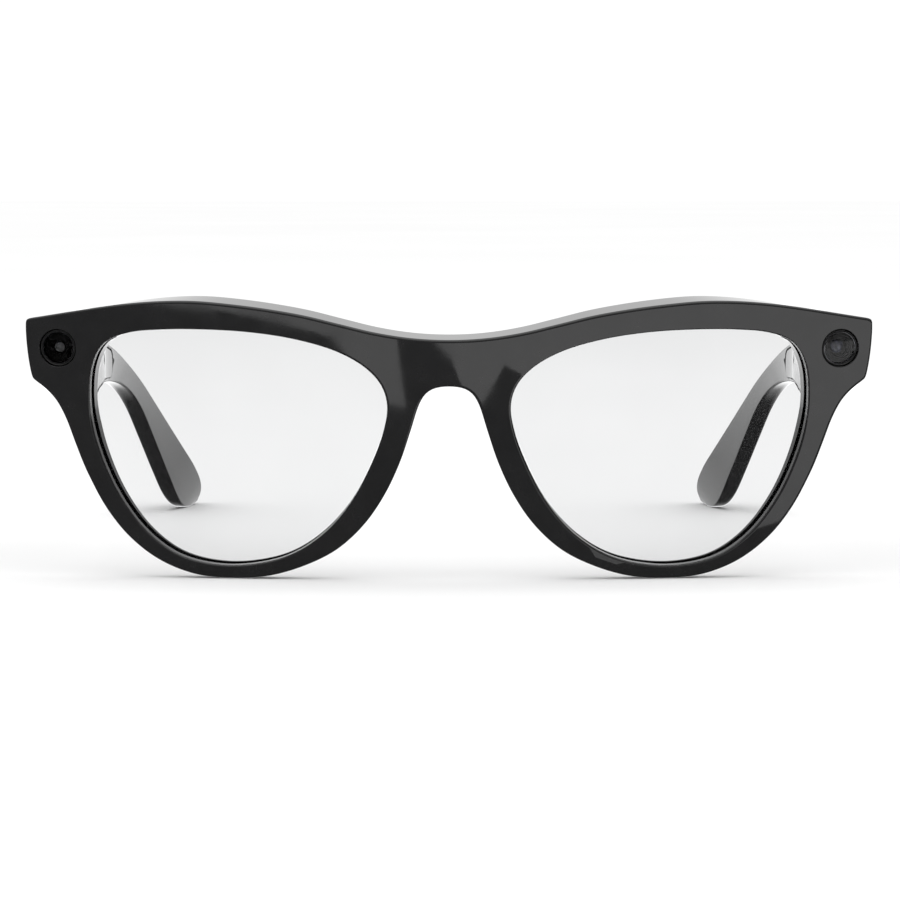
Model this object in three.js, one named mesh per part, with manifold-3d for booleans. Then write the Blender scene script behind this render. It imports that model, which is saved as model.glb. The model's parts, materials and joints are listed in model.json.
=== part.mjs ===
// Smart glasses: a broad-browed front with two lenses, a camera and a capture light in its end pieces, and
// two hollow temples that fold on screwed barrel hinges. Millimetres, +Z up, standing on the rims and the
// temple tips. +X is the wearer's left, and +Y runs back from the front to the temple tips. The origin is
// the middle of the footprint, on the surface that the glasses stand on.
import * as THREE from "three";
import { mergeVertices } from "three/addons/utils/BufferGeometryUtils.js";
import Module from "manifold-3d";

const wasm = await Module();
wasm.setup();

// ---------------------------------------------------------------- driving dimensions
const FACE_RADIUS = 290; // plan-view curve of the front
const LEAN = THREE.MathUtils.degToRad(7); // the front leans forward at the top
const RIM_DEPTH = 4.0; // front to back, level with the rims' lowest point
const BACK_SLOPE = 0.057; // the back recedes this much for each millimetre up, so the brow is deeper
const LENS_FRONT = 1.5; // how far the lens lies behind the front face
const LENS_THICKNESS = 1.8;
const LENS_BITE = 0.7; // how far the lens edge reaches into its groove
const GAP = 0.1; // between pieces that touch
const CLEAR_FRONT = -5; // depths that lie clear of the whole front
const CLEAR_BACK = 40;
const BEND_FADES = [60.5, 63.2]; // walls stand square to the curve up to the first distance from the middle
const CLEAR = 60; // reach of a cutter that has to clear everything
const OUTLINE_STEPS = { top: 30, lower: 62, aperture: 64, strip: 42 };

const JOINT_Y = 15; // where an end piece stops and a temple starts
const JOINT_GAP = 0.2;
const INNER_X = 65; // inner side of a temple
const OUTER_X = 72; // outer side of a temple
const WALL = 1.3;
const UPPER_ROUND = 1.5; // rounding of the outer edges at the hinge
const LOWER_ROUND = 6;
const EAR_ROUND = 1.5; // rounding of both outer edges at the ear
const INNER_ROUND = 0.6;
const LEAST_ROUND = 0.3;
const MOST_ROUND = 0.9; // share of the room for it that a rounding may take
const ROUND_STEPS = 3;
const TAPER_START = 50; // a temple thins from here
const TAPER_END = 98;
const EAR_THICKNESS = 3.4;
const TURN_START = 80; // from here back a temple turns in behind the ear
const TURN_END = 157;
const TURN_IN = 14.5;
const TURN_BEND = 1.3;
const TIP_SLIM = [0.97, 0.85, 0.6]; // share of the full width at the last cross-sections
const SIDE_X = [40, 80]; // bounds that hold one whole temple
const SIDE_Z = [20, 50];
const MOUTH_X = [INNER_X + 2, OUTER_X - WALL]; // the opening for wires at the joint
const MOUTH_Z = [36, 41.6];
const WEDGE_START = { y: 3.2, z: 45.3 }; // where an end piece's sloping top starts, at its outer side
const WEDGE_END = { y: JOINT_Y, z: 43.8 };
const WEDGE_BROW = [46, 12, 48.9]; // where the slope meets the brow
const FLANGE = { inner: 62.6, back: 10.4, low: 35.2, high: 42.6, thickness: 1.2 };
const BAY_BACK = 84; // back end of the space for the electronics
const COVER_FRONT = 28;
const COVER_BACK = 88;
const COVER_THICKNESS = 1.1;
const COVER_INSET = 0.8;
const COVER_REST = 0.9; // width of the ledge that a cover rests on
const SECTION_COUNT = 26;

const HINGE_X = 63.2; // the pivot stands clear of the temple's inner side
const HINGE_LOW = 31.6;
const HINGE_HIGH = 42.4;
const KNUCKLES = 5;
const KNUCKLE_RADIUS = 1.5;
const PIN_RADIUS = 0.7;
const PIN_CLEARANCE = 0.06;
const LEAF_THICKNESS = 0.95;
const LEAF_SCREW_RADIUS = 0.5;

const BROW_COVER = 0.9; // thickness of the strip behind the brow
const STRIP_WIDTH = 3.2;
const STRIP_EXTRA = 1.4; // it is this much wider behind the bridge
const STRIP_WIDENS = [4, 9]; // widest up to the first distance from the middle, and narrow past the second
const COVER_LEDGE = 0.55; // how much of each edge of the strip rests on the frame
const TRENCH_DEPTH = 2.0; // room for the flexible circuit under the strip
const FLEX_WIDTH = 1.7;
const FLEX_FRONT = 1.8; // from the back of the rim to the flexible circuit's two faces
const FLEX_BACK = 1.5;
const MIC_V = 37.6; // the microphone and the contacts, up the front
const MIC_FRONT = 3.4;
const MIC_DEPTH = 0.7;
const MIC_SIZE = 2.0;
const MIC_HALF_HEIGHT = 0.75;
const SOUND_HOLE_LOW = 30;
const SOUND_HOLE_RADIUS = 0.4;
const CONTACT_U = 3.3;
const CONTACT_RADIUS = 1.1;
const CONTACT_FRONT = 4.85;
const CONTACT_BACK = 6.6;

const OPTIC_U = 66.6; // camera and capture light, from the middle and up the front
const OPTIC_V = 39.0;
const OPTIC_RADIUS = 3.25;
const POCKET_SIDE = 7.0;
const POCKET_FRONT = 1.9;
const POCKET_BACK = 30;
const BORE_LENGTH = 6;

// ---------------------------------------------------------------- outlines, in the front's own plane
const TOP_EDGE = [
  [0, 41.6], [6.2, 41.9], [12.3, 42.8], [18.4, 44.2], [24.4, 45.6], [30.5, 46.6], [36.6, 47.3],
  [43, 47.75], [49, 47.6], [55, 47.0], [60, 46.2], [65.5, 45.15], [71.4, 44.0],
];
const SIDE_EDGE = [
  [71.8, 43.82], [72.05, 43.5], [72.15, 42.4], [72.1, 40.5], [71.9, 38], [71.6, 35.8], [71.3, 34.3],
  [71.05, 33.6], [70.6, 33.15],
];
const LOWER_EDGE = [
  [69.4, 32.3], [67.4, 30.4], [65.6, 27.3], [63.8, 22.5], [61.8, 17.4], [58.8, 11.7], [54.8, 6.7],
  [49.6, 2.8], [43.4, 0.5], [37, 0], [31, 0.5], [25, 2.3], [19.2, 5.3], [14.4, 9.8], [10.9, 15],
  [8.3, 20.6], [6.4, 26.3], [5.0, 30.6], [3.7, 32.6], [2.0, 33.4], [0, 33.6],
];
const APERTURE = [
  [42.5, 42.9], [34, 42.6], [26, 41.5], [19, 39.5], [14.2, 36.8], [11.5, 33.8], [10.5, 30.4], [11.0, 26.4],
  [12.9, 20.9], [16.5, 13.9], [21.2, 8.3], [27, 4.4], [33.5, 2.6], [40, 2.4], [46.2, 3.9], [51.5, 7.6],
  [56.0, 13.4], [59.2, 20.2], [60.9, 26.5], [61.2, 32.0], [60.6, 36.6], [58.6, 40.1], [54.5, 42.0],
  [49, 42.7],
];
const NOSE_PAD = { u: 9.9, v: 22.3, depth: 4.9, halfWidth: 2.2, halfDepth: 4.3, halfLength: 9, tilt: 24 };
const FLEX_PATH = [
  [65.4, 39.6], [61, 42.2], [56, 44.2], [48, 45.2], [40, 45.3], [30, 44.4], [20, 41.9], [11, 39.1],
  [0, 37.6],
];

// Cross-sections of a temple in side view: a point on its top edge, then the point below on its lower edge.
const TEMPLE_SECTIONS = [
  [JOINT_Y, 43.7, JOINT_Y, 30.1], [40, 41.5, 40, 27.7], [64, 39.1, 62, 27.4], [78, 37.4, 74, 28.6],
  [90, 35.2, 84, 29.1], [101, 32.0, 94, 28.3], [112, 27.7, 103, 26.1], [122, 22.8, 111, 22.4],
  [133, 17.1, 120, 15.9], [143, 11.8, 129.5, 8.4], [150, 8.0, 137, 2.7], [154.2, 5.0, 142, 0.5],
  [155.3, 2.7, 147, 0], [153.8, 0.9, 150, 0.1],
];
const ENDPIECE_SECTIONS = [
  [2, 46.5, 2, 32.4], [8, 45.2, 8, 31.5], [JOINT_Y - JOINT_GAP, 43.7, JOINT_Y - JOINT_GAP, 30.1],
];

// ---------------------------------------------------------------- colours and finishes
const finish = (color, roughness, metalness = 0) =>
  new THREE.MeshStandardMaterial({ color, roughness, metalness });
const BLACK_GLOSS = finish(0x1c1c1d, 0.16);
const BLACK_SATIN = finish(0x161617, 0.45);
const LENS_CLEAR = new THREE.MeshStandardMaterial({
  color: 0xeef2f2, roughness: 0.03, transparent: true, opacity: 0.25,
});
const DARK_GLASS = finish(0x08090b, 0.05);
const BLUE_GLASS = finish(0x2a2e44, 0.04);
const STEEL = finish(0x9b9c9e, 0.3, 1);
const GOLD = finish(0xc9a24b, 0.25, 1);
const BOARD_GREEN = finish(0x12402c, 0.5);
const FLEX_AMBER = finish(0x8a5a1c, 0.5);
const BATTERY_FOIL = finish(0x8d9094, 0.35, 0.6);
const LIGHT_GUIDE = finish(0xe8eaec, 0.2);

// ---------------------------------------------------------------- geometry helpers
const vectors = (points) => points.map(([x, y]) => new THREE.Vector2(x, y));
const mirrored = (points) => points.map((p) => new THREE.Vector2(-p.x, p.y)).reverse();
const smooth = (points, count) => new THREE.SplineCurve(points).getSpacedPoints(count);
const shapeOf = (points) => new THREE.Shape(points);
const sag = (x) => (x * x) / (2 * FACE_RADIUS);
const turnAt = (x) => Math.atan(x / FACE_RADIUS);

// A closed smooth loop through the points.
function loop(points, count) {
  const around = points.map(([x, y]) => new THREE.Vector3(x, y, 0));
  const spaced = new THREE.CatmullRomCurve3(around, true, "centripetal").getSpacedPoints(count);
  return spaced.slice(0, count).map((p) => new THREE.Vector2(p.x, p.y));
}

// The loop moved outwards by a distance, or inwards by a negative one.
function offset(points, distance) {
  const outward = THREE.ShapeUtils.isClockWise(points) ? -1 : 1;
  return points.map((p, i) => {
    const before = points[(i + points.length - 1) % points.length];
    const after = points[(i + 1) % points.length];
    const along = after.clone().sub(before).normalize();
    return new THREE.Vector2(p.x + along.y * distance * outward, p.y - along.x * distance * outward);
  });
}

// A strip of even width along a path, wider where widthAt says so.
function ribbon(path, widthAt) {
  const sides = [1, -1].map((hand) =>
    path.map((p, i) => {
      const along = path[Math.min(i + 1, path.length - 1)].clone().sub(path[Math.max(i - 1, 0)]).normalize();
      const reach = (hand * widthAt(p)) / 2;
      return new THREE.Vector2(p.x - along.y * reach, p.y + along.x * reach);
    }),
  );
  return [...sides[0], ...sides[1].reverse()];
}

const block = (x0, x1, y0, y1, z0, z1) =>
  new THREE.BoxGeometry(x1 - x0, y1 - y0, z1 - z0).translate((x0 + x1) / 2, (y0 + y1) / 2, (z0 + z1) / 2);

// A plate about the upright axis, by its half width, its half length and its two heights.
const plateOf = (halfWidth, halfLength, low, high) =>
  block(-halfWidth, halfWidth, -halfLength, halfLength, low, high);

// A shape drawn in the front's plane and extruded back, between two depths.
function through(shape, near, far) {
  const geometry = new THREE.ExtrudeGeometry(shape, { depth: far - near, bevelEnabled: false });
  return geometry.rotateX(Math.PI / 2).translate(0, far, 0);
}

// A shape drawn in side view and extruded sideways, between two distances from the middle.
function across(shape, near, far) {
  const sideways = new THREE.Matrix4().makeBasis(
    new THREE.Vector3(0, 1, 0), new THREE.Vector3(0, 0, 1), new THREE.Vector3(1, 0, 0));
  const geometry = new THREE.ExtrudeGeometry(shape, { depth: far - near, bevelEnabled: false });
  return geometry.applyMatrix4(sideways).translate(near, 0, 0);
}

// A slab that follows the front's curve. Each face has a depth at the bottom and a slope up the front.
function curvedSlab(near, far, nearSlope = 0, farSlope = 0) {
  const HALF = 78;
  const STEPS = 20;
  const LOW = -8;
  const HIGH = 56;
  const xs = Array.from({ length: STEPS + 1 }, (_, i) => -HALF + (2 * HALF * i) / STEPS);
  const points = [...xs.map((x) => [x, sag(x) + near]), ...xs.reverse().map((x) => [x, sag(x) + far])];
  const depth = HIGH - LOW;
  const geometry = new THREE.ExtrudeGeometry(shapeOf(vectors(points)), { depth, bevelEnabled: false });
  geometry.translate(0, 0, LOW);
  const position = geometry.attributes.position;
  for (let i = 0; i < position.count; i++) {
    const isFar = position.getY(i) - sag(position.getX(i)) > (near + far) / 2;
    const slope = isFar ? farSlope : nearSlope;
    position.setY(i, position.getY(i) + slope * position.getZ(i));
  }
  return geometry;
}

const innerX = (y) => INNER_X - TURN_IN * Math.max(0, (y - TURN_START) / (TURN_END - TURN_START)) ** TURN_BEND;
const backThere = (y) => THREE.MathUtils.smoothstep(y, TAPER_START, TAPER_END); // 0 at the hinge, 1 at the ear
const thickness = (y) => THREE.MathUtils.lerp(OUTER_X - INNER_X, EAR_THICKNESS, backThere(y));
const outerRound = (y, atHinge) => THREE.MathUtils.lerp(atHinge, EAR_ROUND, backThere(y));

// One cross-section of a temple, rounded at its four edges and drawn in by an inset all round.
function templeRing([topY, topZ, lowY, lowZ], inset, slim) {
  const middle = new THREE.Vector2((topY + lowY) / 2, (topZ + lowZ) / 2);
  const up = new THREE.Vector2(topY - lowY, topZ - lowZ);
  const halfHeight = up.length() / 2 - inset;
  const halfWidth = (slim * thickness(middle.x)) / 2 - inset;
  const most = MOST_ROUND * Math.min(halfHeight, 2 * halfWidth - INNER_ROUND);
  up.normalize();
  const ring = [];
  for (const [across, along, radius] of [
    [1, 1, outerRound(middle.x, UPPER_ROUND)], [-1, 1, INNER_ROUND],
    [-1, -1, INNER_ROUND], [1, -1, outerRound(middle.x, LOWER_ROUND)],
  ]) {
    const round = Math.min(Math.max(radius - inset, LEAST_ROUND), most);
    for (let i = 0; i <= ROUND_STEPS; i++) {
      const step = across === along ? i : ROUND_STEPS - i;
      const angle = (step * Math.PI) / 2 / ROUND_STEPS;
      const x = across * (halfWidth - round + round * Math.cos(angle));
      const t = along * (halfHeight - round + round * Math.sin(angle));
      const y = middle.x + up.x * t;
      ring.push(new THREE.Vector3(innerX(y) + thickness(y) / 2 + x, y, middle.y + up.y * t));
    }
  }
  return ring;
}

// A closed skin over a row of cross-sections that all have the same number of points.
function skin(rings) {
  const size = rings[0].length;
  const index = [];
  for (let i = 0; i + 1 < rings.length; i++) {
    for (let j = 0; j < size; j++) {
      const next = (j + 1) % size;
      const [a, b, c, d] = [i * size + j, i * size + next, (i + 1) * size + next, (i + 1) * size + j];
      index.push(a, c, b, a, d, c);
    }
  }
  const last = (rings.length - 1) * size;
  for (let j = 1; j + 1 < size; j++) {
    index.push(0, j, j + 1, last, last + j + 1, last + j);
  }
  return new THREE.BufferGeometry().setFromPoints(rings.flat()).setIndex(index);
}

// The top and lower edges of a row of cross-sections, blended between the given ones.
function edgesOf(sections, count) {
  const blended = (points) => new THREE.SplineCurve(vectors(points)).getPoints(count);
  const top = blended(sections.map(([y, z]) => [y, z]));
  const low = blended(sections.map(([, , y, z]) => [y, z]));
  return { top, low };
}

// A temple's whole body, or the room inside it. The last cross-sections are slimmer.
function templeBody(sections, count, inset = 0, slims = []) {
  const { top, low } = edgesOf(sections, count);
  const full = top.length - slims.length;
  const slimAt = (i) => (i < full ? 1 : slims[i - full]);
  return solid(skin(top.map((p, i) => templeRing([p.x, p.y, low[i].x, low[i].y], inset, slimAt(i)))));
}

// The plan-view band of a temple, between two distances from its inner side.
function templeBand(near, far) {
  const ys = [5, ...Array.from({ length: 15 }, (_, i) => 70 + i * 3)];
  const inner = ys.map((y) => [innerX(y) + near, y]);
  const outer = ys.map((y) => [innerX(y) + far, y]).reverse();
  return new THREE.ExtrudeGeometry(shapeOf(vectors([...outer, ...inner])), { depth: 60, bevelEnabled: false });
}

const lathe = (profile, segments = 24) => new THREE.LatheGeometry(vectors([...profile, profile[0]]), segments);
const upright = (geometry) => geometry.rotateX(Math.PI / 2);

// A closed rod standing on a point, along +Z.
const rod = (x, y, low, high, radius, segments = 16) =>
  upright(new THREE.CylinderGeometry(radius, radius, high - low, segments)).translate(x, y, (low + high) / 2);

// A closed rod lying along X.
const crossRod = (near, far, y, z, radius, segments = 12) =>
  new THREE.CylinderGeometry(radius, radius, far - near, segments)
    .rotateZ(Math.PI / 2)
    .translate((near + far) / 2, y, z);

// ---------------------------------------------------------------- joining and cutting
function solid(geometry, matrix) {
  const bare = new THREE.BufferGeometry().setAttribute("position", geometry.attributes.position.clone());
  bare.setIndex(geometry.index);
  if (matrix) bare.applyMatrix4(matrix);
  const merged = mergeVertices(bare, 1e-4);
  return new wasm.Manifold(new wasm.Mesh({
    numProp: 3,
    vertProperties: merged.attributes.position.array,
    triVerts: new Uint32Array(merged.index.array),
  }));
}

function geometryOf(made) {
  const mesh = made.getMesh();
  const geometry = new THREE.BufferGeometry();
  geometry.setAttribute("position", new THREE.BufferAttribute(new Float32Array(mesh.vertProperties), 3));
  geometry.setIndex(new THREE.BufferAttribute(mesh.triVerts, 1));
  return geometry;
}

const union = (...solids) => solids.reduce((all, next) => all.add(next));
const cut = (from, ...cutters) => cutters.reduce((left, next) => left.subtract(next), from);

function named(name, shape, material) {
  const geometry = shape.isBufferGeometry ? shape : geometryOf(shape);
  if (!geometry.attributes.normal) geometry.computeVertexNormals();
  const mesh = new THREE.Mesh(geometry, material);
  mesh.name = name;
  return mesh;
}

// ---------------------------------------------------------------- where things go
const onRow = new THREE.Matrix4().makeRotationX(LEAN); // from the front's own plane to the upright frame
const opticPlace = new THREE.Matrix4()
  .makeRotationZ(turnAt(OPTIC_U))
  .setPosition(OPTIC_U, sag(OPTIC_U), OPTIC_V);
const mirrorX = new THREE.Matrix4().makeScale(-1, 1, 1);

// ---------------------------------------------------------------- front
function frontOutline() {
  const right = smooth(vectors(TOP_EDGE), OUTLINE_STEPS.top);
  const end = vectors(SIDE_EDGE);
  const lower = smooth(vectors(LOWER_EDGE), OUTLINE_STEPS.lower);
  const half = [...right, ...end, ...lower];
  return [...half, ...mirrored(half).slice(1, -1)];
}

const aperture = loop(APERTURE, OUTLINE_STEPS.aperture);
const flexHalf = vectors(FLEX_PATH);
const flexPath = smooth([...flexHalf, ...mirrored(flexHalf.slice(0, -1))], OUTLINE_STEPS.strip);
const stripWidth = (p) =>
  STRIP_WIDTH + STRIP_EXTRA * (1 - THREE.MathUtils.smoothstep(Math.abs(p.x), ...STRIP_WIDENS));

// The solid's mirror image about the middle.
function flipped(made) {
  const geometry = geometryOf(made).applyMatrix4(mirrorX);
  const index = geometry.index.array;
  for (let i = 0; i < index.length; i += 3) [index[i + 1], index[i + 2]] = [index[i + 2], index[i + 1]];
  return geometry;
}

const withMirror = (made) => union(made, solid(flipped(made)));

// A straight-walled piece of the front, with its walls turned square to the front's curve.
function bent(made) {
  const geometry = geometryOf(made);
  const position = geometry.attributes.position;
  for (let i = 0; i < position.count; i++) {
    const x = position.getX(i);
    const depth = position.getY(i) - sag(x);
    const share = 1 - THREE.MathUtils.smoothstep(Math.abs(x), ...BEND_FADES);
    position.setX(i, x - (share * depth * x) / FACE_RADIUS);
  }
  return geometry;
}

function sidePocket() {
  const half = POCKET_SIDE / 2;
  const square = vectors([
    [OPTIC_U - half, OPTIC_V - half], [OPTIC_U + half, OPTIC_V - half],
    [OPTIC_U + half, OPTIC_V + half], [OPTIC_U - half, OPTIC_V + half],
  ]);
  const column = solid(through(shapeOf(square), CLEAR_FRONT, CLEAR_BACK));
  return column.intersect(solid(curvedSlab(POCKET_FRONT, POCKET_BACK)));
}

// The wedge that brings an end piece's top down to meet its temple.
function topWedge() {
  const start = new THREE.Vector3(OUTER_X, WEDGE_START.y, WEDGE_START.z);
  const end = new THREE.Vector3(OUTER_X, WEDGE_END.y, WEDGE_END.z);
  const brow = new THREE.Vector3(...WEDGE_BROW);
  const back = end.sub(start).normalize();
  const up = back.clone().cross(brow.sub(start)).normalize();
  const place = new THREE.Matrix4().makeBasis(back.clone().cross(up), back, up).setPosition(start);
  return solid(block(-CLEAR, CLEAR, -CLEAR, CLEAR, 0, CLEAR), place);
}

// A smooth swelling behind the inner side of a rim, which rests on the nose.
function nosePad() {
  const { u, v, depth, halfWidth, halfDepth, halfLength, tilt } = NOSE_PAD;
  return new THREE.SphereGeometry(1, 20, 14)
    .rotateX(Math.PI / 2)
    .scale(halfWidth, halfDepth, halfLength)
    .rotateY(-THREE.MathUtils.degToRad(tilt))
    .translate(u, depth, v);
}

function frontFrame(toFront) {
  const body = solid(through(shapeOf(frontOutline()), CLEAR_FRONT, CLEAR_BACK));
  const hole = withMirror(solid(through(shapeOf(aperture), CLEAR_FRONT, CLEAR_BACK)));
  const rims = body.intersect(solid(curvedSlab(0, RIM_DEPTH, 0, BACK_SLOPE)));
  const shell = cut(union(rims, withMirror(solid(nosePad()))), hole);
  const grooveSlab = solid(curvedSlab(LENS_FRONT - GAP, LENS_FRONT + LENS_THICKNESS + GAP));
  const grooveLine = offset(aperture, LENS_BITE + GAP);
  const grooveColumn = withMirror(solid(through(shapeOf(grooveLine), CLEAR_FRONT, CLEAR_BACK)));
  const coverSlab = solid(curvedSlab(RIM_DEPTH - BROW_COVER - GAP, CLEAR_BACK, BACK_SLOPE, BACK_SLOPE));
  const seatLine = ribbon(flexPath, (p) => stripWidth(p) + 2 * GAP);
  const coverSeat = solid(through(shapeOf(seatLine), CLEAR_FRONT, CLEAR_BACK)).intersect(coverSlab);
  const flexSlab = solid(curvedSlab(RIM_DEPTH - TRENCH_DEPTH, CLEAR_BACK, BACK_SLOPE, BACK_SLOPE));
  const trenchLine = ribbon(flexPath, (p) => stripWidth(p) - 2 * COVER_LEDGE);
  const flexTrench = solid(through(shapeOf(trenchLine), CLEAR_FRONT, CLEAR_BACK)).intersect(flexSlab);
  const boreRod = new THREE.CylinderGeometry(OPTIC_RADIUS, OPTIC_RADIUS, BORE_LENGTH, 32);
  const bore = withMirror(solid(boreRod, opticPlace));
  const wedges = withMirror(solid(geometryOf(topWedge()), toFront));
  const half = MIC_SIZE / 2 + GAP;
  const roomBack = RIM_DEPTH + 1;
  const microphoneRoom = solid(
    block(-half, half, MIC_FRONT - 2 * GAP, roomBack, MIC_V - MIC_HALF_HEIGHT, MIC_V + MIC_HALF_HEIGHT));
  const soundHole = solid(rod(0, MIC_FRONT + MIC_DEPTH / 2, SOUND_HOLE_LOW, MIC_V, SOUND_HOLE_RADIUS, 10));
  const groove = grooveColumn.intersect(grooveSlab);
  const pockets = withMirror(sidePocket());
  const rooms = union(groove, coverSeat, flexTrench, microphoneRoom, soundHole, pockets, bore);
  return bent(cut(shell, rooms, wedges));
}

function lens() {
  const edge = solid(through(shapeOf(offset(aperture, LENS_BITE)), CLEAR_FRONT, CLEAR_BACK));
  return bent(edge.intersect(solid(curvedSlab(LENS_FRONT, LENS_FRONT + LENS_THICKNESS))));
}

const contactRod = (u, near, far, radius) =>
  new THREE.CylinderGeometry(radius, radius, far - near, 24).translate(u, (near + far) / 2, MIC_V);

function browCover() {
  const slab = solid(curvedSlab(RIM_DEPTH - BROW_COVER, RIM_DEPTH, BACK_SLOPE, BACK_SLOPE));
  const column = solid(through(shapeOf(ribbon(flexPath, stripWidth)), CLEAR_FRONT, CLEAR_BACK));
  const holes = withMirror(solid(contactRod(CONTACT_U, CLEAR_FRONT, CLEAR_BACK, CONTACT_RADIUS + GAP)));
  return bent(cut(column.intersect(slab), holes));
}

function frontFlex() {
  const slab = solid(curvedSlab(RIM_DEPTH - FLEX_FRONT, RIM_DEPTH - FLEX_BACK, BACK_SLOPE, BACK_SLOPE));
  const strip = ribbon(flexPath.slice(1, -1), () => FLEX_WIDTH);
  return bent(solid(through(shapeOf(strip), CLEAR_FRONT, CLEAR_BACK)).intersect(slab));
}

const bridgeMicrophone = () =>
  new THREE.BoxGeometry(MIC_SIZE, MIC_DEPTH, 2 * (MIC_HALF_HEIGHT - 1.5 * GAP))
    .translate(0, MIC_FRONT + MIC_DEPTH / 2, MIC_V);

// The hollow block behind an end piece, from the front to the joint. Its flange closes the camera pocket.
function endPieceCover(toRow) {
  const flange = solid(block(FLANGE.inner, INNER_X + 1, 0, FLANGE.back, FLANGE.low, FLANGE.high));
  const flangeBack = RIM_DEPTH + FLANGE.thickness;
  const behindFlange = solid(curvedSlab(flangeBack, CLEAR_BACK, BACK_SLOPE, BACK_SLOPE), toRow);
  const innerHalf = solid(block(SIDE_X[0], INNER_X, 0, CLEAR_BACK, ...SIDE_Z)).intersect(behindFlange);
  const frontSide = solid(curvedSlab(-CLEAR_BACK, RIM_DEPTH + GAP, 0, BACK_SLOPE), toRow);
  const room = solid(block(...MOUTH_X, 0, CLEAR_BACK, ...MOUTH_Z));
  const cover = union(templeBody(ENDPIECE_SECTIONS, 4), flange);
  return cut(cover, frontSide, innerHalf, room, topWedge(), leafScrewHoles(LEAF_SCREW_Y.front));
}

// ---------------------------------------------------------------- camera and capture light
// Each profile is turned about an axis along Y: distance from the axis, then depth.
const RING_PROFILE = [[2.85, 0.3], [3.15, 0.12], [3.15, 1.8], [2.85, 1.8]];
const WINDOW_PROFILE = [[0, 0.45], [2.75, 0.45], [2.75, 0.95], [0, 0.95]];
const BARREL_PROFILE = [[0, 2.7], [1.25, 2.7], [1.25, 1.9], [2.1, 1.1], [2.6, 1.1], [2.6, 3.5], [0, 3.5]];
const DOME_PROFILE = [[0, 1.65], [0.45, 1.7], [0.85, 1.85], [1.15, 2.1], [1.15, 2.6], [0, 2.6]];
const BAFFLE_PROFILE = [[0.95, 1.1], [2.75, 1.1], [2.75, 1.6], [0.95, 1.6]];
const GUIDE_PROFILE = [[0, 1.2], [0.8, 1.2], [0.8, 1.7], [1.4, 3.4], [0, 3.4]];

// Boards with what they carry, as boxes: near and far x, then y, then z.
const SENSOR_BOXES = [[-2.3, 2.6, 3.6, 4.7, -2.5, 2.5], [-2.1, 3.9, 4.6, 5.0, -3.0, 3.0]];
const LIGHT_BOXES = [[-0.7, 0.7, 3.5, 4.1, -0.7, 0.7], [-3.9, 2.1, 4.0, 4.5, -2.9, 2.9]];
const joined = (boxes) => union(...boxes.map((sides) => solid(block(...sides))));

function optics(hand, pieces) {
  const group = new THREE.Group();
  group.position.set(hand * OPTIC_U, sag(OPTIC_U), OPTIC_V);
  group.rotation.z = hand * turnAt(OPTIC_U);
  pieces.forEach(([name, shape, material]) => group.add(named(name, shape, material)));
  return group;
}

// ---------------------------------------------------------------- hinges
const PITCH = (HINGE_HIGH - HINGE_LOW) / KNUCKLES;
const LEAF_SCREW_Y = { front: 11.7, temple: 22.5 };
const LEAF_SCREW_Z = [34.0, 40.0];
const SCREW_START = INNER_X - 2;
const SCREW_END = INNER_X + 1.6;
const SCREW_HEAD = { radius: 0.95, height: 0.4 };
const PIN_END = 0.3; // how far the hinge screw passes the barrels
const PIN_HEAD = { radius: 1.2, height: 0.7, slotWidth: 0.4, slotDepth: 0.3 };

const screwHole = (y, z) => solid(crossRod(SCREW_START, SCREW_END + GAP, y, z, LEAF_SCREW_RADIUS + GAP));
const leafScrewHoles = (y) => union(...LEAF_SCREW_Z.map((z) => screwHole(y, z)));

// One leaf: its plate on the inner side, and every second barrel of the hinge.
function hingeLeaf(plate, first, screwY) {
  const barrels = [];
  const gaps = [];
  for (let i = 0; i < KNUCKLES; i++) {
    const low = HINGE_LOW + i * PITCH;
    const mine = i % 2 === first;
    const high = low + PITCH;
    if (mine) barrels.push(solid(rod(HINGE_X, JOINT_Y, low + GAP / 2, high - GAP / 2, KNUCKLE_RADIUS)));
    else gaps.push(solid(rod(HINGE_X, JOINT_Y, low - GAP / 2, high + GAP / 2, KNUCKLE_RADIUS + GAP)));
  }
  const boreRadius = PIN_RADIUS + PIN_CLEARANCE;
  const bore = solid(rod(HINGE_X, JOINT_Y, HINGE_LOW - PITCH, HINGE_HIGH + PITCH, boreRadius, 12));
  return cut(union(solid(plate), ...barrels), ...gaps, bore, leafScrewHoles(screwY));
}

const PLATE_X = INNER_X - GAP;
const PLATE_ENDS = { front: 10.6, temple: 25.5 };
const PLATE_SETBACK = 0.6; // from the pivot's line to each plate
const leafPlate = (near, far) => block(PLATE_X - LEAF_THICKNESS, PLATE_X, near, far, HINGE_LOW, HINGE_HIGH);
const frontLeaf = () =>
  hingeLeaf(leafPlate(PLATE_ENDS.front, JOINT_Y - PLATE_SETBACK), 0, LEAF_SCREW_Y.front);
const templeLeaf = () =>
  hingeLeaf(leafPlate(JOINT_Y + PLATE_SETBACK, PLATE_ENDS.temple), 1, LEAF_SCREW_Y.temple);

// The hinge screw: a slotted head on the top barrel and a shank through all five.
function hingePin() {
  const { radius, height, slotWidth, slotDepth } = PIN_HEAD;
  const low = HINGE_HIGH + GAP;
  const top = low + height;
  const shank = solid(rod(HINGE_X, JOINT_Y, HINGE_LOW - PIN_END, HINGE_HIGH + PIN_END, PIN_RADIUS, 12));
  const head = solid(rod(HINGE_X, JOINT_Y, low, top, radius));
  const slot = plateOf(2 * radius, slotWidth / 2, top - slotDepth, top + slotDepth);
  return cut(union(shank, head), solid(slot.translate(HINGE_X, JOINT_Y, 0)));
}

function leafScrew(y, z) {
  const face = PLATE_X - LEAF_THICKNESS - GAP;
  const shank = solid(crossRod(face - SCREW_HEAD.height / 2, SCREW_END, y, z, LEAF_SCREW_RADIUS, 8));
  const head = solid(crossRod(face - SCREW_HEAD.height, face, y, z, SCREW_HEAD.radius));
  return union(shank, head);
}

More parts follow.
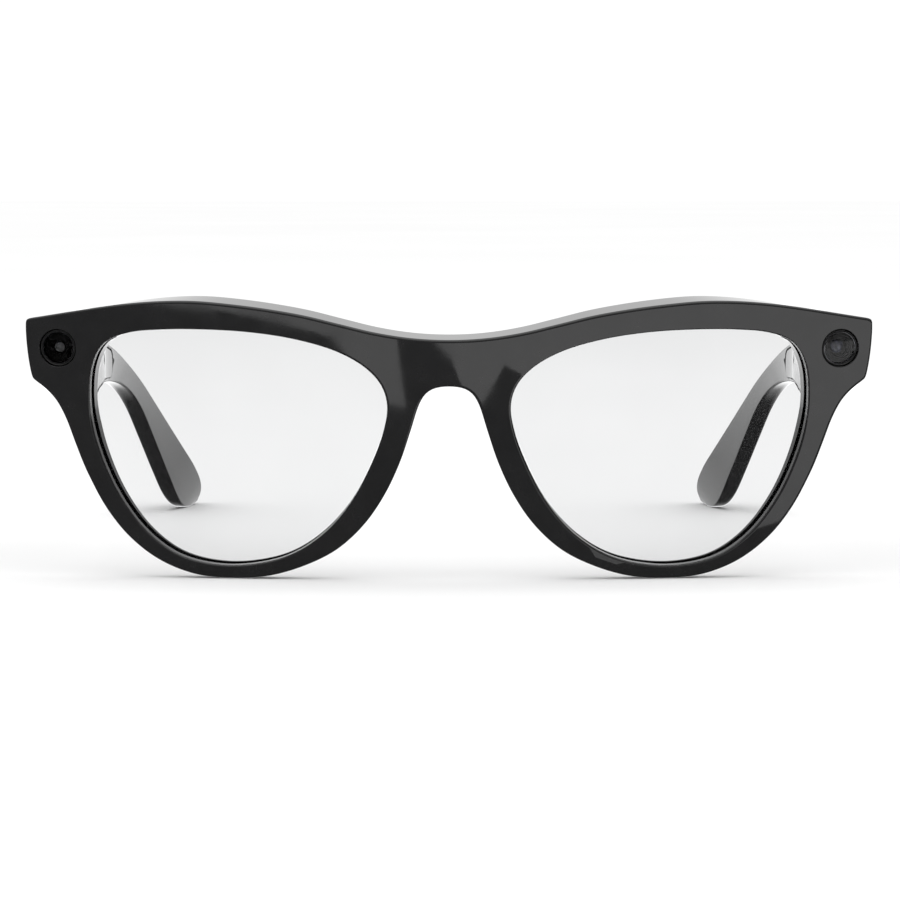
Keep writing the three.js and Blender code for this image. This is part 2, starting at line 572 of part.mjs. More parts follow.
// ---------------------------------------------------------------- temples
const BUTTON_Y = 29;
const BUTTON_HALF_WIDTH = 1.3;
const BUTTON_HALF_LENGTH = 4.5;
const BUTTON_TOP = 0.45; // how far the cap stands out
const BUTTON_FOOT = 0.35; // how far the foot reaches past the cap
const CAP_LOW = -1.9;
const FOOT_HEIGHTS = [-2.1, -1.5];
const DOME_SWITCH = { halfWidth: 1.3, halfLength: 1.8, low: -3.4, high: -2.6 };
const TOP_TILT = -THREE.MathUtils.degToRad(5.4);
const buttonPlace = new THREE.Matrix4().makeRotationX(TOP_TILT).setPosition(68.85, BUTTON_Y, 42.35);
const PORT_PLACE = [68.2, 68, 28.5];
const PORT_TILT = THREE.MathUtils.degToRad(5.7);
const PORT_ROLL = -THREE.MathUtils.degToRad(25); // square to the temple's rounded lower edge
const PORT_HALF_WIDTH = 1.1;
const PORT_HALF_LENGTH = 4.9;
const PORT_CUT = 4; // the port's cut reaches this far up and down
const MESH_HEIGHTS = [-0.1, 0.3];
const CORE_RADIUS = 0.65;
const CORE_ROOM = 0.25;
const portPlace = new THREE.Matrix4().makeRotationFromEuler(new THREE.Euler(PORT_TILT, PORT_ROLL, 0));
portPlace.setPosition(...PORT_PLACE);
const CORE_PATH = [
  [80, 33.2], [88, 32.0], [97, 30.1], [106, 27.0], [114, 22.9], [122, 17.9], [130, 12.7], [138, 8.0],
];
const SWITCH_Y = 35;
const SWITCH_Z = 35.4;
const SWITCH_TRAVEL = 2;
const THUMB = { halfLength: 1.2, halfHeight: 0.8, standsOut: 0.6, clearance: 0.2 };
const SLIDE = { halfLength: 2.6, halfHeight: 1.6, near: 0.1, far: 0.7 }; // behind the cover
const HOUSING = { near: 66.95, far: 68.6, front: 3, back: 5, halfHeight: 1.5 };
const SEAM_LENGTH = 12; // how far past its cover a temple's side outline is followed

// A round wire, or the bore for it, along the middle of a temple's ear end.
function coreWire(route, radius) {
  const points = route.map(([y, z]) => new THREE.Vector3(innerX(y) + thickness(y) / 2, y, z));
  const circle = new THREE.Shape().absarc(0, 0, radius, 0, Math.PI * 2);
  const extrudePath = new THREE.CatmullRomCurve3(points);
  return new THREE.ExtrudeGeometry(circle, { steps: 12, extrudePath, curveSegments: 4, bevelEnabled: false });
}

// A region seen from the side, inset from the temple's outline, between two depths from its inner side.
function sideRegion(inset, near, far, front, back) {
  const { top, low } = edgesOf(TEMPLE_SECTIONS, SECTION_COUNT);
  const nearHinge = (p) => p.x < COVER_BACK + SEAM_LENGTH;
  const outline = offset([...top.filter(nearHinge), ...low.filter(nearHinge).reverse()], -inset);
  return solid(across(shapeOf(outline), ...SIDE_X))
    .intersect(solid(templeBand(near, far)))
    .intersect(solid(block(...SIDE_X, front, back, ...SIDE_Z)));
}

function templeShell(isRight) {
  const outside = templeBody(TEMPLE_SECTIONS, SECTION_COUNT, 0, TIP_SLIM);
  const inside = templeBody(TEMPLE_SECTIONS, SECTION_COUNT, WALL);
  const mouthFront = COVER_FRONT + COVER_REST;
  const frontRoom = inside.intersect(solid(block(MOUTH_X[0], OUTER_X, 0, mouthFront, ...SIDE_Z)));
  const bayRoom = inside.intersect(solid(block(...SIDE_X, COVER_FRONT, BAY_BACK, ...SIDE_Z)));
  const bayMouth = sideRegion(COVER_INSET + COVER_REST, 0, 2 * COVER_THICKNESS, mouthFront, BAY_BACK);
  const seat = sideRegion(COVER_INSET, -2 * COVER_THICKNESS, COVER_THICKNESS, COVER_FRONT, COVER_BACK);
  const mouth = solid(block(...MOUTH_X, 0, JOINT_Y + 3 * WALL, ...MOUTH_Z));
  const port = solid(plateOf(PORT_HALF_WIDTH + GAP, PORT_HALF_LENGTH + GAP, -PORT_CUT, PORT_CUT), portPlace);
  const core = solid(coreWire(CORE_PATH, CORE_RADIUS + CORE_ROOM));
  const rooms = union(frontRoom, bayRoom, bayMouth, seat, mouth, port, core);
  const body = cut(outside, rooms, leafScrewHoles(LEAF_SCREW_Y.temple));
  const hole = plateOf(BUTTON_HALF_WIDTH + GAP, BUTTON_HALF_LENGTH + GAP, 2 * CAP_LOW, -CAP_LOW);
  const buttonHole = solid(hole, buttonPlace);
  return isRight ? cut(body, buttonHole) : body;
}

function templeCover(isLeft) {
  const plate = sideRegion(COVER_INSET + GAP, 0, COVER_THICKNESS - GAP, COVER_FRONT + GAP, COVER_BACK - GAP);
  const length = THUMB.halfLength + THUMB.clearance;
  const height = THUMB.halfHeight + THUMB.clearance;
  const slot = block(
    ...SIDE_X, SWITCH_Y - length, SWITCH_Y + length + SWITCH_TRAVEL, SWITCH_Z - height, SWITCH_Z + height);
  return isLeft ? cut(plate, solid(slot)) : plate;
}

// The capture button: a cap through the temple's top wall on a wider foot that holds it in.
function captureButton() {
  const cap = plateOf(BUTTON_HALF_WIDTH, BUTTON_HALF_LENGTH, CAP_LOW, BUTTON_TOP);
  const foot = plateOf(BUTTON_HALF_WIDTH + BUTTON_FOOT, BUTTON_HALF_LENGTH + BUTTON_FOOT, ...FOOT_HEIGHTS);
  return union(solid(cap), solid(foot));
}

// The power switch: a thumb ridge on the inside of the left temple, on a plate that runs behind the cover.
function powerSwitch() {
  const behind = INNER_X + COVER_THICKNESS;
  const bar = (near, far, { halfLength, halfHeight }) => solid(block(
    near, far, SWITCH_Y - halfLength, SWITCH_Y + halfLength, SWITCH_Z - halfHeight, SWITCH_Z + halfHeight));
  const ridge = bar(INNER_X - THUMB.standsOut, behind + SLIDE.far / 2, THUMB);
  return union(ridge, bar(behind + SLIDE.near, behind + SLIDE.far, SLIDE));
}

const switchHousing = () => block(
  HOUSING.near, HOUSING.far, SWITCH_Y - HOUSING.front, SWITCH_Y + HOUSING.back,
  SWITCH_Z - HOUSING.halfHeight, SWITCH_Z + HOUSING.halfHeight);

// A box in the electronics bay, by its size and its middle, in a frame that slopes with the temple.
const BAY_PLACE = [68.45, 45, 34.2];
const BAY_TILT = -THREE.MathUtils.degToRad(3.5);
function inBay(name, size, middle, material) {
  const mesh = named(name, new THREE.BoxGeometry(...size), material);
  mesh.position.set(...middle);
  return mesh;
}

function bay(...meshes) {
  const group = new THREE.Group();
  group.position.set(...BAY_PLACE);
  group.rotation.x = BAY_TILT;
  return group.add(...meshes);
}

// ---------------------------------------------------------------- assembly
const sideName = (isLeft) => (isLeft ? "left" : "right");

function placed(mesh, place) {
  place.decompose(mesh.position, mesh.quaternion, mesh.scale);
  return mesh;
}

const meshPlate = () => plateOf(PORT_HALF_WIDTH, PORT_HALF_LENGTH, ...MESH_HEIGHTS);

// What both temples hold, built on the left and mirrored for the right.
function templeParts(isLeft) {
  const s = sideName(isLeft);
  const group = new THREE.Group();
  group.add(
    named(`temple_shell_${s}`, templeShell(!isLeft), BLACK_GLOSS),
    named(`temple_cover_${s}`, templeCover(isLeft), BLACK_GLOSS),
    named(`hinge_temple_leaf_${s}`, templeLeaf(), STEEL),
    named(`temple_leaf_screw_upper_${s}`, leafScrew(LEAF_SCREW_Y.temple, LEAF_SCREW_Z[1]), STEEL),
    named(`temple_leaf_screw_lower_${s}`, leafScrew(LEAF_SCREW_Y.temple, LEAF_SCREW_Z[0]), STEEL),
    named(`tip_core_${s}`, coreWire(CORE_PATH.slice(1, -1), CORE_RADIUS), STEEL),
    placed(named(`speaker_mesh_${s}`, meshPlate(), STEEL), portPlace),
    bay(
      inBay(`speaker_${s}`, [2.1, 10, 4.6], [-0.75, 23.2, 0.3], BLACK_SATIN),
      inBay(`temple_microphone_${s}`, [1.3, 2.6, 2.0], [0, -23, 0.5], STEEL),
    ),
  );
  return group;
}

function leftTemple() {
  return templeParts(true).add(
    bay(
      inBay("battery", [3.0, 20, 6.4], [-0.3, 6.6, 0.3], BATTERY_FOIL),
      inBay("battery_board", [0.7, 9, 6], [1.2, -8.6, 0.3], BOARD_GREEN),
    ),
    named("switch_housing", switchHousing(), STEEL),
    named("power_switch", powerSwitch(), BLACK_SATIN),
  );
}

function rightTemple() {
  const button = placed(named("capture_button", captureButton(), BLACK_SATIN), buttonPlace);
  const { halfWidth, halfLength, low, high } = DOME_SWITCH;
  const dome = placed(named("capture_switch", plateOf(halfWidth, halfLength, low, high), STEEL), buttonPlace);
  return templeParts(false).add(
    button,
    dome,
    bay(
      inBay("main_board", [0.8, 30, 6.2], [0.3, 1, -0.1], BOARD_GREEN),
      inBay("processor_shield", [1.3, 14, 5.2], [-0.9, 2, -0.1], STEEL),
      inBay("touch_sensor", [0.3, 22, 4.4], [1.6, -1, 0.7], FLEX_AMBER),
    ),
  );
}

function sideFittings(isLeft, toRow) {
  const s = sideName(isLeft);
  return new THREE.Group().add(
    named(`endpiece_cover_${s}`, endPieceCover(toRow), BLACK_GLOSS),
    named(`hinge_front_leaf_${s}`, frontLeaf(), STEEL),
    named(`hinge_pin_${s}`, hingePin(), STEEL),
    named(`front_leaf_screw_upper_${s}`, leafScrew(LEAF_SCREW_Y.front, LEAF_SCREW_Z[1]), STEEL),
    named(`front_leaf_screw_lower_${s}`, leafScrew(LEAF_SCREW_Y.front, LEAF_SCREW_Z[0]), STEEL),
  );
}

// The rims' lowest point touches the surface once the front leans.
const heightOf = (p) => p.y * Math.cos(LEAN) + sag(p.x) * Math.sin(LEAN);
const lowest = Math.min(...frontOutline().map(heightOf));
const toRow = new THREE.Matrix4().makeTranslation(0, 0, -lowest).multiply(onRow);
const toFront = toRow.clone().invert();

const front = new THREE.Group();
front.position.z = -lowest;
front.rotation.x = LEAN;
front.add(
  named("front_frame", frontFrame(toFront), BLACK_GLOSS),
  named("lens_left", lens(), LENS_CLEAR),
  named("brow_cover", browCover(), BLACK_SATIN),
  named("front_flex", frontFlex(), FLEX_AMBER),
  named("charge_contact_left", contactRod(CONTACT_U, CONTACT_FRONT, CONTACT_BACK, CONTACT_RADIUS), GOLD),
  named("charge_contact_right", contactRod(-CONTACT_U, CONTACT_FRONT, CONTACT_BACK, CONTACT_RADIUS), GOLD),
  named("bridge_microphone", bridgeMicrophone(), STEEL),
  optics(1, [
    ["camera_trim_ring", lathe(RING_PROFILE), BLACK_SATIN],
    ["camera_window", lathe(WINDOW_PROFILE), DARK_GLASS],
    ["camera_barrel", lathe(BARREL_PROFILE), BLACK_SATIN],
    ["camera_lens", lathe(DOME_PROFILE), BLUE_GLASS],
    ["camera_sensor", joined(SENSOR_BOXES), BOARD_GREEN],
  ]),
  optics(-1, [
    ["light_trim_ring", lathe(RING_PROFILE), BLACK_SATIN],
    ["light_window", lathe(WINDOW_PROFILE), DARK_GLASS],
    ["light_baffle", lathe(BAFFLE_PROFILE), BLACK_SATIN],
    ["light_guide", lathe(GUIDE_PROFILE), LIGHT_GUIDE],
    ["light_board", joined(LIGHT_BOXES), BOARD_GREEN],
  ]),
);
const otherLens = named("lens_right", lens(), LENS_CLEAR);
otherLens.scale.x = -1;
front.add(otherLens);

const rightSide = new THREE.Group().add(sideFittings(false, toRow), rightTemple());
rightSide.scale.x = -1;

const glasses = new THREE.Group().add(front, sideFittings(true, toRow), leftTemple(), rightSide);
const box = new THREE.Box3().setFromObject(glasses, true);
glasses.position.set(0, -(box.min.y + box.max.y) / 2, -box.min.z);

export default glasses;
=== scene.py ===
"""Smart glasses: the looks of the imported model. Sizes in the outlines and profiles are millimetres in the
front's own plane or in a temple's side view, and MM turns them into the scene's metres."""

import json
import math
import bpy
import bmesh
import numpy as np
from mathutils import Matrix, Vector
from mathutils.geometry import delaunay_2d_cdt


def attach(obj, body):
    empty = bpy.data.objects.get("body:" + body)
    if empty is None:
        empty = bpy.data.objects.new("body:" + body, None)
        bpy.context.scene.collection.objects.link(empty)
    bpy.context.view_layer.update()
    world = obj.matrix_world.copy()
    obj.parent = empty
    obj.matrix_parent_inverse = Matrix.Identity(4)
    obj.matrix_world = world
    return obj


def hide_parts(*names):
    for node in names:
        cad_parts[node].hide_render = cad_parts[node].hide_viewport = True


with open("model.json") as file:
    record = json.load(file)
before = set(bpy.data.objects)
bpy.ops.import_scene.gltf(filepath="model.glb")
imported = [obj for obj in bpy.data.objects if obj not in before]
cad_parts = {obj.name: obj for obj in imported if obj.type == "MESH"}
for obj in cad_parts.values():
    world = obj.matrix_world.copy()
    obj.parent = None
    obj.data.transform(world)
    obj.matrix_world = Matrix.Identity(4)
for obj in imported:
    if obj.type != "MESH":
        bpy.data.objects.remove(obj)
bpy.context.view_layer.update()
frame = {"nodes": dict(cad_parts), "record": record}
MM = 0.001

# ------------------------------------------------------------------ design dimensions, as in the CAD
FACE_RADIUS = 290.0
LEAN = math.radians(7)
RIM_DEPTH = 4.0
BACK_SLOPE = 0.057
BEND_FADES = (60.5, 63.2)
END_FALL = 0.16
FALL_WIDENS = (36, 72)
FALL_RISES = (36, 44)
LENS_FRONT = 1.5
LENS_THICKNESS = 1.8
LENS_BITE = 0.7
GAP = 0.1
JOINT_Y = 15.0
JOINT_GAP = 0.2
INNER_X = 65.0
OUTER_X = 72.0
UPPER_ROUND = 1.5
LOWER_ROUND = 6.0
EAR_ROUND = 1.5
INNER_ROUND = 0.6
MOST_ROUND = 0.95
TAPER_START = 50.0
TAPER_END = 98.0
EAR_THICKNESS = 3.4
TURN_START = 80.0
TURN_END = 157.0
TURN_IN = 14.5
TURN_BEND = 1.3
TIP_START = 0.86
TIP_LOSS = 0.45
TIP_BEND = 2.2
COVER_FRONT = 28.0
COVER_BACK = 88.0
COVER_THICKNESS = 1.1
COVER_INSET = 0.8
OPTIC_U = 66.6
OPTIC_V = 39.0
OPTIC_RADIUS = 3.25

TOP_EDGE = [
    (0, 41.6), (6.2, 41.9), (12.3, 42.8), (18.4, 44.2), (24.4, 45.6), (30.5, 46.6), (36.6, 47.3),
    (43, 47.75), (49, 47.6), (55, 47.0), (60, 46.2), (65.5, 45.15), (71.4, 44.0),
]
SIDE_EDGE = [
    (71.8, 43.82), (72.05, 43.5), (72.15, 42.4), (72.1, 40.5), (71.9, 38), (71.6, 35.8), (71.3, 34.3),
    (71.05, 33.6), (70.6, 33.15),
]
LOWER_EDGE = [
    (69.4, 32.3), (67.4, 30.4), (65.6, 27.3), (63.8, 22.5), (61.8, 17.4), (58.8, 11.7), (54.8, 6.7),
    (49.6, 2.8), (43.4, 0.5), (37, 0), (31, 0.5), (25, 2.3), (19.2, 5.3), (14.4, 9.8), (10.9, 15),
    (8.3, 20.6), (6.4, 26.3), (5.0, 30.6), (3.7, 32.6), (2.0, 33.4), (0, 33.6),
]
APERTURE = [
    (42.5, 42.9), (34, 42.6), (26, 41.5), (19, 39.5), (14.2, 36.8), (11.5, 33.8), (10.5, 30.4), (11.0, 26.4),
    (12.9, 20.9), (16.5, 13.9), (21.2, 8.3), (27, 4.4), (33.5, 2.6), (40, 2.4), (46.2, 3.9), (51.5, 7.6),
    (56.0, 13.4), (59.2, 20.2), (60.9, 26.5), (61.2, 32.0), (60.6, 36.6), (58.6, 40.1), (54.5, 42.0),
    (49, 42.7),
]
STRIP_HALF = 1.3
STRIP_WIDENS = 1.0
STRIP_WIDE_TO = 9
STRIP_FADE = 5
COVER_PATH = [
    (62.2, 41.6), (60, 42.6), (56, 44.2), (48, 45.2), (40, 45.3), (30, 44.4), (20, 41.9), (11, 39.1),
    (0, 37.6),
]
TEMPLE_SECTIONS = [
    (JOINT_Y, 43.7, JOINT_Y, 30.1), (40, 41.5, 40, 27.7), (64, 39.1, 62, 27.4), (78, 37.4, 74, 28.6),
    (90, 35.2, 84, 29.1), (101, 32.0, 94, 28.3), (112, 27.7, 103, 26.1), (122, 22.8, 111, 22.4),
    (133, 17.1, 120, 15.9), (143, 11.8, 129.5, 8.4), (150, 8.0, 137, 2.7), (154.2, 5.0, 142, 0.5),
    (155.3, 2.7, 147, 0), (153.8, 0.9, 150, 0.1),
]
ENDPIECE_BACK = JOINT_Y - JOINT_GAP
ENDPIECE_SECTIONS = [(5, 45.0, 5, 32.2), (8, 44.6, 8, 31.5), (ENDPIECE_BACK, 43.7, ENDPIECE_BACK, 30.1)]
NAMES = {1: "left", -1: "right"}

# ------------------------------------------------------------------ fineness of the meshes
CURVE_STEPS = 12
TEMPLE_CURVE_STEPS = 24
OUTLINE_SPACING = 0.7
END_SPACING = 0.3
FAIR_WEIGHTS = (0.5, -0.52)  # a smoothing step, then a slightly larger one back, so the line doesn't shrink
ROUND_STEPS = 6
PIT_STEPS = 3
WALL_STEPS = (0.2, 0.4, 0.6, 0.8)
RING_STEPS = 9
SIDE_FILL = 3
ROW_STEP = 0.866  # rows of even triangles
EDGE_CLEAR = 0.55

# ------------------------------------------------------------------ the frame's own places
JOINTS = {joint["name"]: joint for joint in frame["record"]["behaviour"]["joints"]}
HINGE = Vector(JOINTS["left_temple_fold"]["pos_m"]) / MM
ORIGIN_Y = HINGE.y - JOINT_Y


# ------------------------------------------------------------------ curves and outlines
def catmull(points, closed, steps):
    """A centripetal curve through the points, with so many steps to each stretch."""
    p = np.array(points, float)
    n = len(p)
    if closed:
        p = np.vstack([p[-1], p, p[0], p[1]])
        stretches = n
    else:
        p = np.vstack([2 * p[0] - p[1], p, 2 * p[-1] - p[-2]])
        stretches = n - 1
    out = []
    for i in range(stretches):
        a, b, c, d = p[i : i + 4]
        t0 = 0.0
        t1 = t0 + max(np.linalg.norm(b - a), 1e-6) ** 0.5
        t2 = t1 + max(np.linalg.norm(c - b), 1e-6) ** 0.5
        t3 = t2 + max(np.linalg.norm(d - c), 1e-6) ** 0.5
        t = np.linspace(t1, t2, steps, endpoint=False)[:, None]
        ab = (t1 - t) / (t1 - t0) * a + (t - t0) / (t1 - t0) * b
        bc = (t2 - t) / (t2 - t1) * b + (t - t1) / (t2 - t1) * c
        cd = (t3 - t) / (t3 - t2) * c + (t - t2) / (t3 - t2) * d
        abc = (t2 - t) / (t2 - t0) * ab + (t - t0) / (t2 - t0) * bc
        bcd = (t3 - t) / (t3 - t1) * bc + (t - t1) / (t3 - t1) * cd
        out.append((t2 - t) / (t2 - t1) * abc + (t - t1) / (t2 - t1) * bcd)
    out = np.vstack(out)
    return out if closed else np.vstack([out, p[-2]])


def respaced(points, spacing, closed):
    """The same line with even steps of about the given length."""
    p = np.vstack([points, points[:1]]) if closed else np.asarray(points)
    run = np.concatenate([[0], np.cumsum(np.linalg.norm(np.diff(p, axis=0), axis=1))])
    count = max(int(round(run[-1] / spacing)), 3)
    at = np.linspace(0, run[-1], count, endpoint=False) if closed else np.linspace(0, run[-1], count + 1)
    return np.stack([np.interp(at, run, p[:, k]) for k in range(p.shape[1])], axis=1)


def faired(loop, passes):
    """A closed loop with the small unevenness of its given points smoothed away."""
    p = loop.copy()
    for _ in range(passes):
        for weight in FAIR_WEIGHTS:
            p = p + weight * ((np.roll(p, 1, 0) + np.roll(p, -1, 0)) / 2 - p)
    return p


def counterclockwise(loop):
    area = np.sum(loop[:, 0] * np.roll(loop[:, 1], -1) - np.roll(loop[:, 0], -1) * loop[:, 1])
    return loop if area > 0 else loop[::-1]


def outward(loop):
    """Unit normals of a counter-clockwise loop, pointing out of it."""
    along = unit(np.roll(loop, -1, 0) - np.roll(loop, 1, 0))
    return np.stack([along[:, 1], -along[:, 0]], axis=1)


def flipped_loop(loop):
    return counterclockwise(loop * np.array([-1.0, 1.0]))


def front_outline():
    """The front's outline: fair curves along brow and rims, and small round corners at the end pieces."""
    top = [(-u, v) for u, v in TOP_EDGE[:0:-1]] + TOP_EDGE
    top = respaced(catmull(top, False, CURVE_STEPS), OUTLINE_SPACING, False)
    low = LOWER_EDGE + [(-u, v) for u, v in LOWER_EDGE[-2::-1]]
    low = respaced(catmull(low, False, CURVE_STEPS), OUTLINE_SPACING, False)
    end = respaced(catmull(SIDE_EDGE, False, CURVE_STEPS), END_SPACING, False)
    loop = np.vstack([eased(top), end, eased(low), end[::-1] * (-1, 1)])
    return counterclockwise(faired(loop, 2))


def eased(line, passes=12):
    """An open line with its inner points faired and its ends kept."""
    p = line.copy()
    for _ in range(passes):
        for weight in FAIR_WEIGHTS:
            p[1:-1] += weight * ((p[2:] + p[:-2]) / 2 - p[1:-1])
    return p


def aperture_outline():
    loop = respaced(catmull(APERTURE, True, 16), OUTLINE_SPACING, True)
    return counterclockwise(faired(loop, 30))


def turned_by(arrow, angle):
    return np.array([
        arrow[0] * math.cos(angle) - arrow[1] * math.sin(angle),
        arrow[0] * math.sin(angle) + arrow[1] * math.cos(angle)])


def circle(centre, ru, rv, count):
    angle = np.linspace(0, 2 * math.pi, count, endpoint=False)
    return np.stack([centre[0] + ru * np.cos(angle), centre[1] + rv * np.sin(angle)], axis=1)


def cover_outline(extra):
    """The rear strip's outline: a band of even width with round ends, wider behind the bridge."""
    path = catmull(COVER_PATH + [(-u, v) for u, v in COVER_PATH[:-1][::-1]], False, 10)
    path = respaced(path, 0.8, False)
    along = unit(np.gradient(path, axis=0))
    side = np.stack([-along[:, 1], along[:, 0]], axis=1)
    half = STRIP_HALF + STRIP_WIDENS * smoothstep(STRIP_WIDE_TO - np.abs(path[:, 0]), 0, STRIP_FADE) + extra
    left = path + side * half[:, None]
    right = path - side * half[:, None]
    ends = []
    for end, sign in ((-1, 1), (0, -1)):
        turn = np.linspace(-90, 90, 9)[1:-1] * sign
        base = sign * along[end]
        for degrees in -turn if sign > 0 else turn:
            a = math.radians(degrees)
            ends.append(path[end] + half[end] * turned_by(base, a))
    far_end, near_end = np.split(np.array(ends), 2)
    return counterclockwise(np.vstack([left, far_end, right[::-1], near_end]))


# ------------------------------------------------------------------ from the front's plane to the frame
def smoothstep(x, low, high):
    t = np.clip((np.asarray(x, float) - low) / (high - low), 0, 1)
    return t * t * (3 - 2 * t)


def sag(u):
    return u * u / (2 * FACE_RADIUS)


def lowest_point():
    loop = front_outline()
    return np.min(loop[:, 1] * math.cos(LEAN) + sag(loop[:, 0]) * math.sin(LEAN))


LOWEST = lowest_point()


def to_frame(p):
    """Points (u, v, depth) of the front in the row frame, in millimetres. The end pieces' tops fall towards
    the back, and the other walls stand square to the front's curve."""
    u, v, depth = p[:, 0], p[:, 1], p[:, 2]
    v = v - END_FALL * depth * smoothstep(np.abs(u), *FALL_WIDENS) * smoothstep(v, *FALL_RISES)
    back = depth + sag(u)
    u = u - depth * u / FACE_RADIUS * (1 - smoothstep(np.abs(u), *BEND_FADES))
    y = back * math.cos(LEAN) - v * math.sin(LEAN) + ORIGIN_Y
    z = v * math.cos(LEAN) + back * math.sin(LEAN) - LOWEST
    return np.stack([u, y, z], axis=1)


def unit(arrows):
    return arrows / np.linalg.norm(arrows, axis=1)[:, None]


def placed_mesh(place, points, normals):
    """Points and normals taken to the frame by a map, and whether the map turns faces inside out."""
    step = 1e-3
    ahead = [place(points + step * axis) for axis in np.eye(3)]
    behind = [place(points - step * axis) for axis in np.eye(3)]
    jacobian = (np.stack(ahead, axis=2) - np.stack(behind, axis=2)) / (2 * step)
    turned = np.einsum("nij,nj->ni", np.linalg.inv(jacobian).transpose(0, 2, 1), normals)
    mirrors = np.linalg.det(jacobian[0]) < 0
    return place(points), unit(turned), mirrors


# ------------------------------------------------------------------ mesh building
class Builder:
    """Collects points, normals and faces, then makes one smooth object from them."""

    def __init__(self):
        self.points, self.normals, self.faces, self.count = [], [], [], 0

    def add(self, points, normals):
        start = self.count
        self.points.append(np.asarray(points, float))
        self.normals.append(np.asarray(normals, float))
        self.count += len(points)
        return np.arange(start, self.count)

    def strip(self, a, b, closed=True):
        """Quads between two rows of the same length; their fronts face the side that puts a before b."""
        n = len(a)
        for i in range(n if closed else n - 1):
            j = (i + 1) % n
            self.faces.append((a[i], a[j], b[j], b[i]))

    def triangles(self, rows):
        self.faces.extend(tuple(row) for row in rows)


def new_object(name, points, faces, normals=None, sharp=None):
    """A smooth mesh object from points in millimetres."""
    mesh = bpy.data.meshes.new(name)
    mesh.from_pydata((np.asarray(points) * MM).tolist(), [], [tuple(int(i) for i in f) for f in faces])
    mesh.validate()
    mesh.polygons.foreach_set("use_smooth", [True] * len(mesh.polygons))
    if sharp is not None:
        mesh.set_sharp_from_angle(angle=math.radians(sharp))
    if normals is not None and len(mesh.vertices) == len(normals):
        mesh.normals_split_custom_set_from_vertices(np.asarray(normals).tolist())
    mesh.update()
    obj = bpy.data.objects.new(name, mesh)
    bpy.context.scene.collection.objects.link(obj)
    return obj


def inside(points, loop):
    """Which points lie inside a closed loop."""
    x, y = points[:, 0][:, None], points[:, 1][:, None]
    x0, y0 = loop[:, 0][None], loop[:, 1][None]
    x1, y1 = np.roll(loop[:, 0], -1)[None], np.roll(loop[:, 1], -1)[None]
    crosses = (y0 > y) != (y1 > y)
    rise = np.where(y1 == y0, 1e-12, y1 - y0)
    return np.sum(crosses & (x < (x1 - x0) * (y - y0) / rise + x0), axis=1) % 2 == 1


def filled(loops, spacing):
    """Inner points and triangles of the region in the first loop and outside the others. Triangles index the
    loops' points in order, then the inner points."""
    edge = np.vstack(loops)
    low, high = loops[0].min(0), loops[0].max(0)
    inner = np.zeros((0, 2))
    if spacing:
        us = np.arange(low[0], high[0], spacing)
        vs = np.arange(low[1], high[1], spacing * ROW_STEP)
        grid = np.array([(u + (k % 2) * spacing / 2, v) for k, v in enumerate(vs) for u in us])
        keep = inside(grid, loops[0])
        for hole in loops[1:]:
            keep &= ~inside(grid, hole)
        grid = grid[keep]
        room = (spacing * EDGE_CLEAR) ** 2
        clear = np.array([np.min(np.sum((edge - g) ** 2, axis=1)) > room for g in grid])
        inner = grid[clear] if len(grid) else inner
    everything = np.vstack([edge, inner])
    edges, start = [], 0
    for loop in loops:
        n = len(loop)
        edges += [(start + i, start + (i + 1) % n) for i in range(n)]
        start += n
    made = delaunay_2d_cdt([Vector(p) for p in everything], edges, [], 0, 1e-7, True)
    crossed = [made[0][i] for i, ids in enumerate(made[3]) if not ids]
    if crossed:
        raise ValueError(f"loops cross at {crossed[:4]}")
    source = [ids[0] for ids in made[3]]
    tris = np.array([[source[i] for i in face] for face in made[2]])
    centre = everything[tris].mean(axis=1)
    keep = inside(centre, loops[0])
    for hole in loops[1:]:
        keep &= ~inside(centre, hole)
    tris = tris[keep]
    a, b, c = (everything[tris[:, k]] for k in range(3))
    turn = (b[:, 0] - a[:, 0]) * (c[:, 1] - a[:, 1]) - (b[:, 1] - a[:, 1]) * (c[:, 0] - a[:, 0])
    tris[turn < 0] = tris[turn < 0][:, ::-1]
    return inner, tris


class Contour:
    """One closed edge of a slab: the outer one (side 1) or a hole (side -1)."""

    def __init__(self, loop, side, near_round, far_round, groove=None):
        self.loop, self.side, self.groove = counterclockwise(loop), side, groove
        self.near_round = np.broadcast_to(near_round, len(loop)).astype(float)
        self.far_round = np.broadcast_to(far_round, len(loop)).astype(float)
        self.out = outward(self.loop) * side

    def inward(self, distance):
        return self.loop - self.out * np.asarray(distance)[..., None]


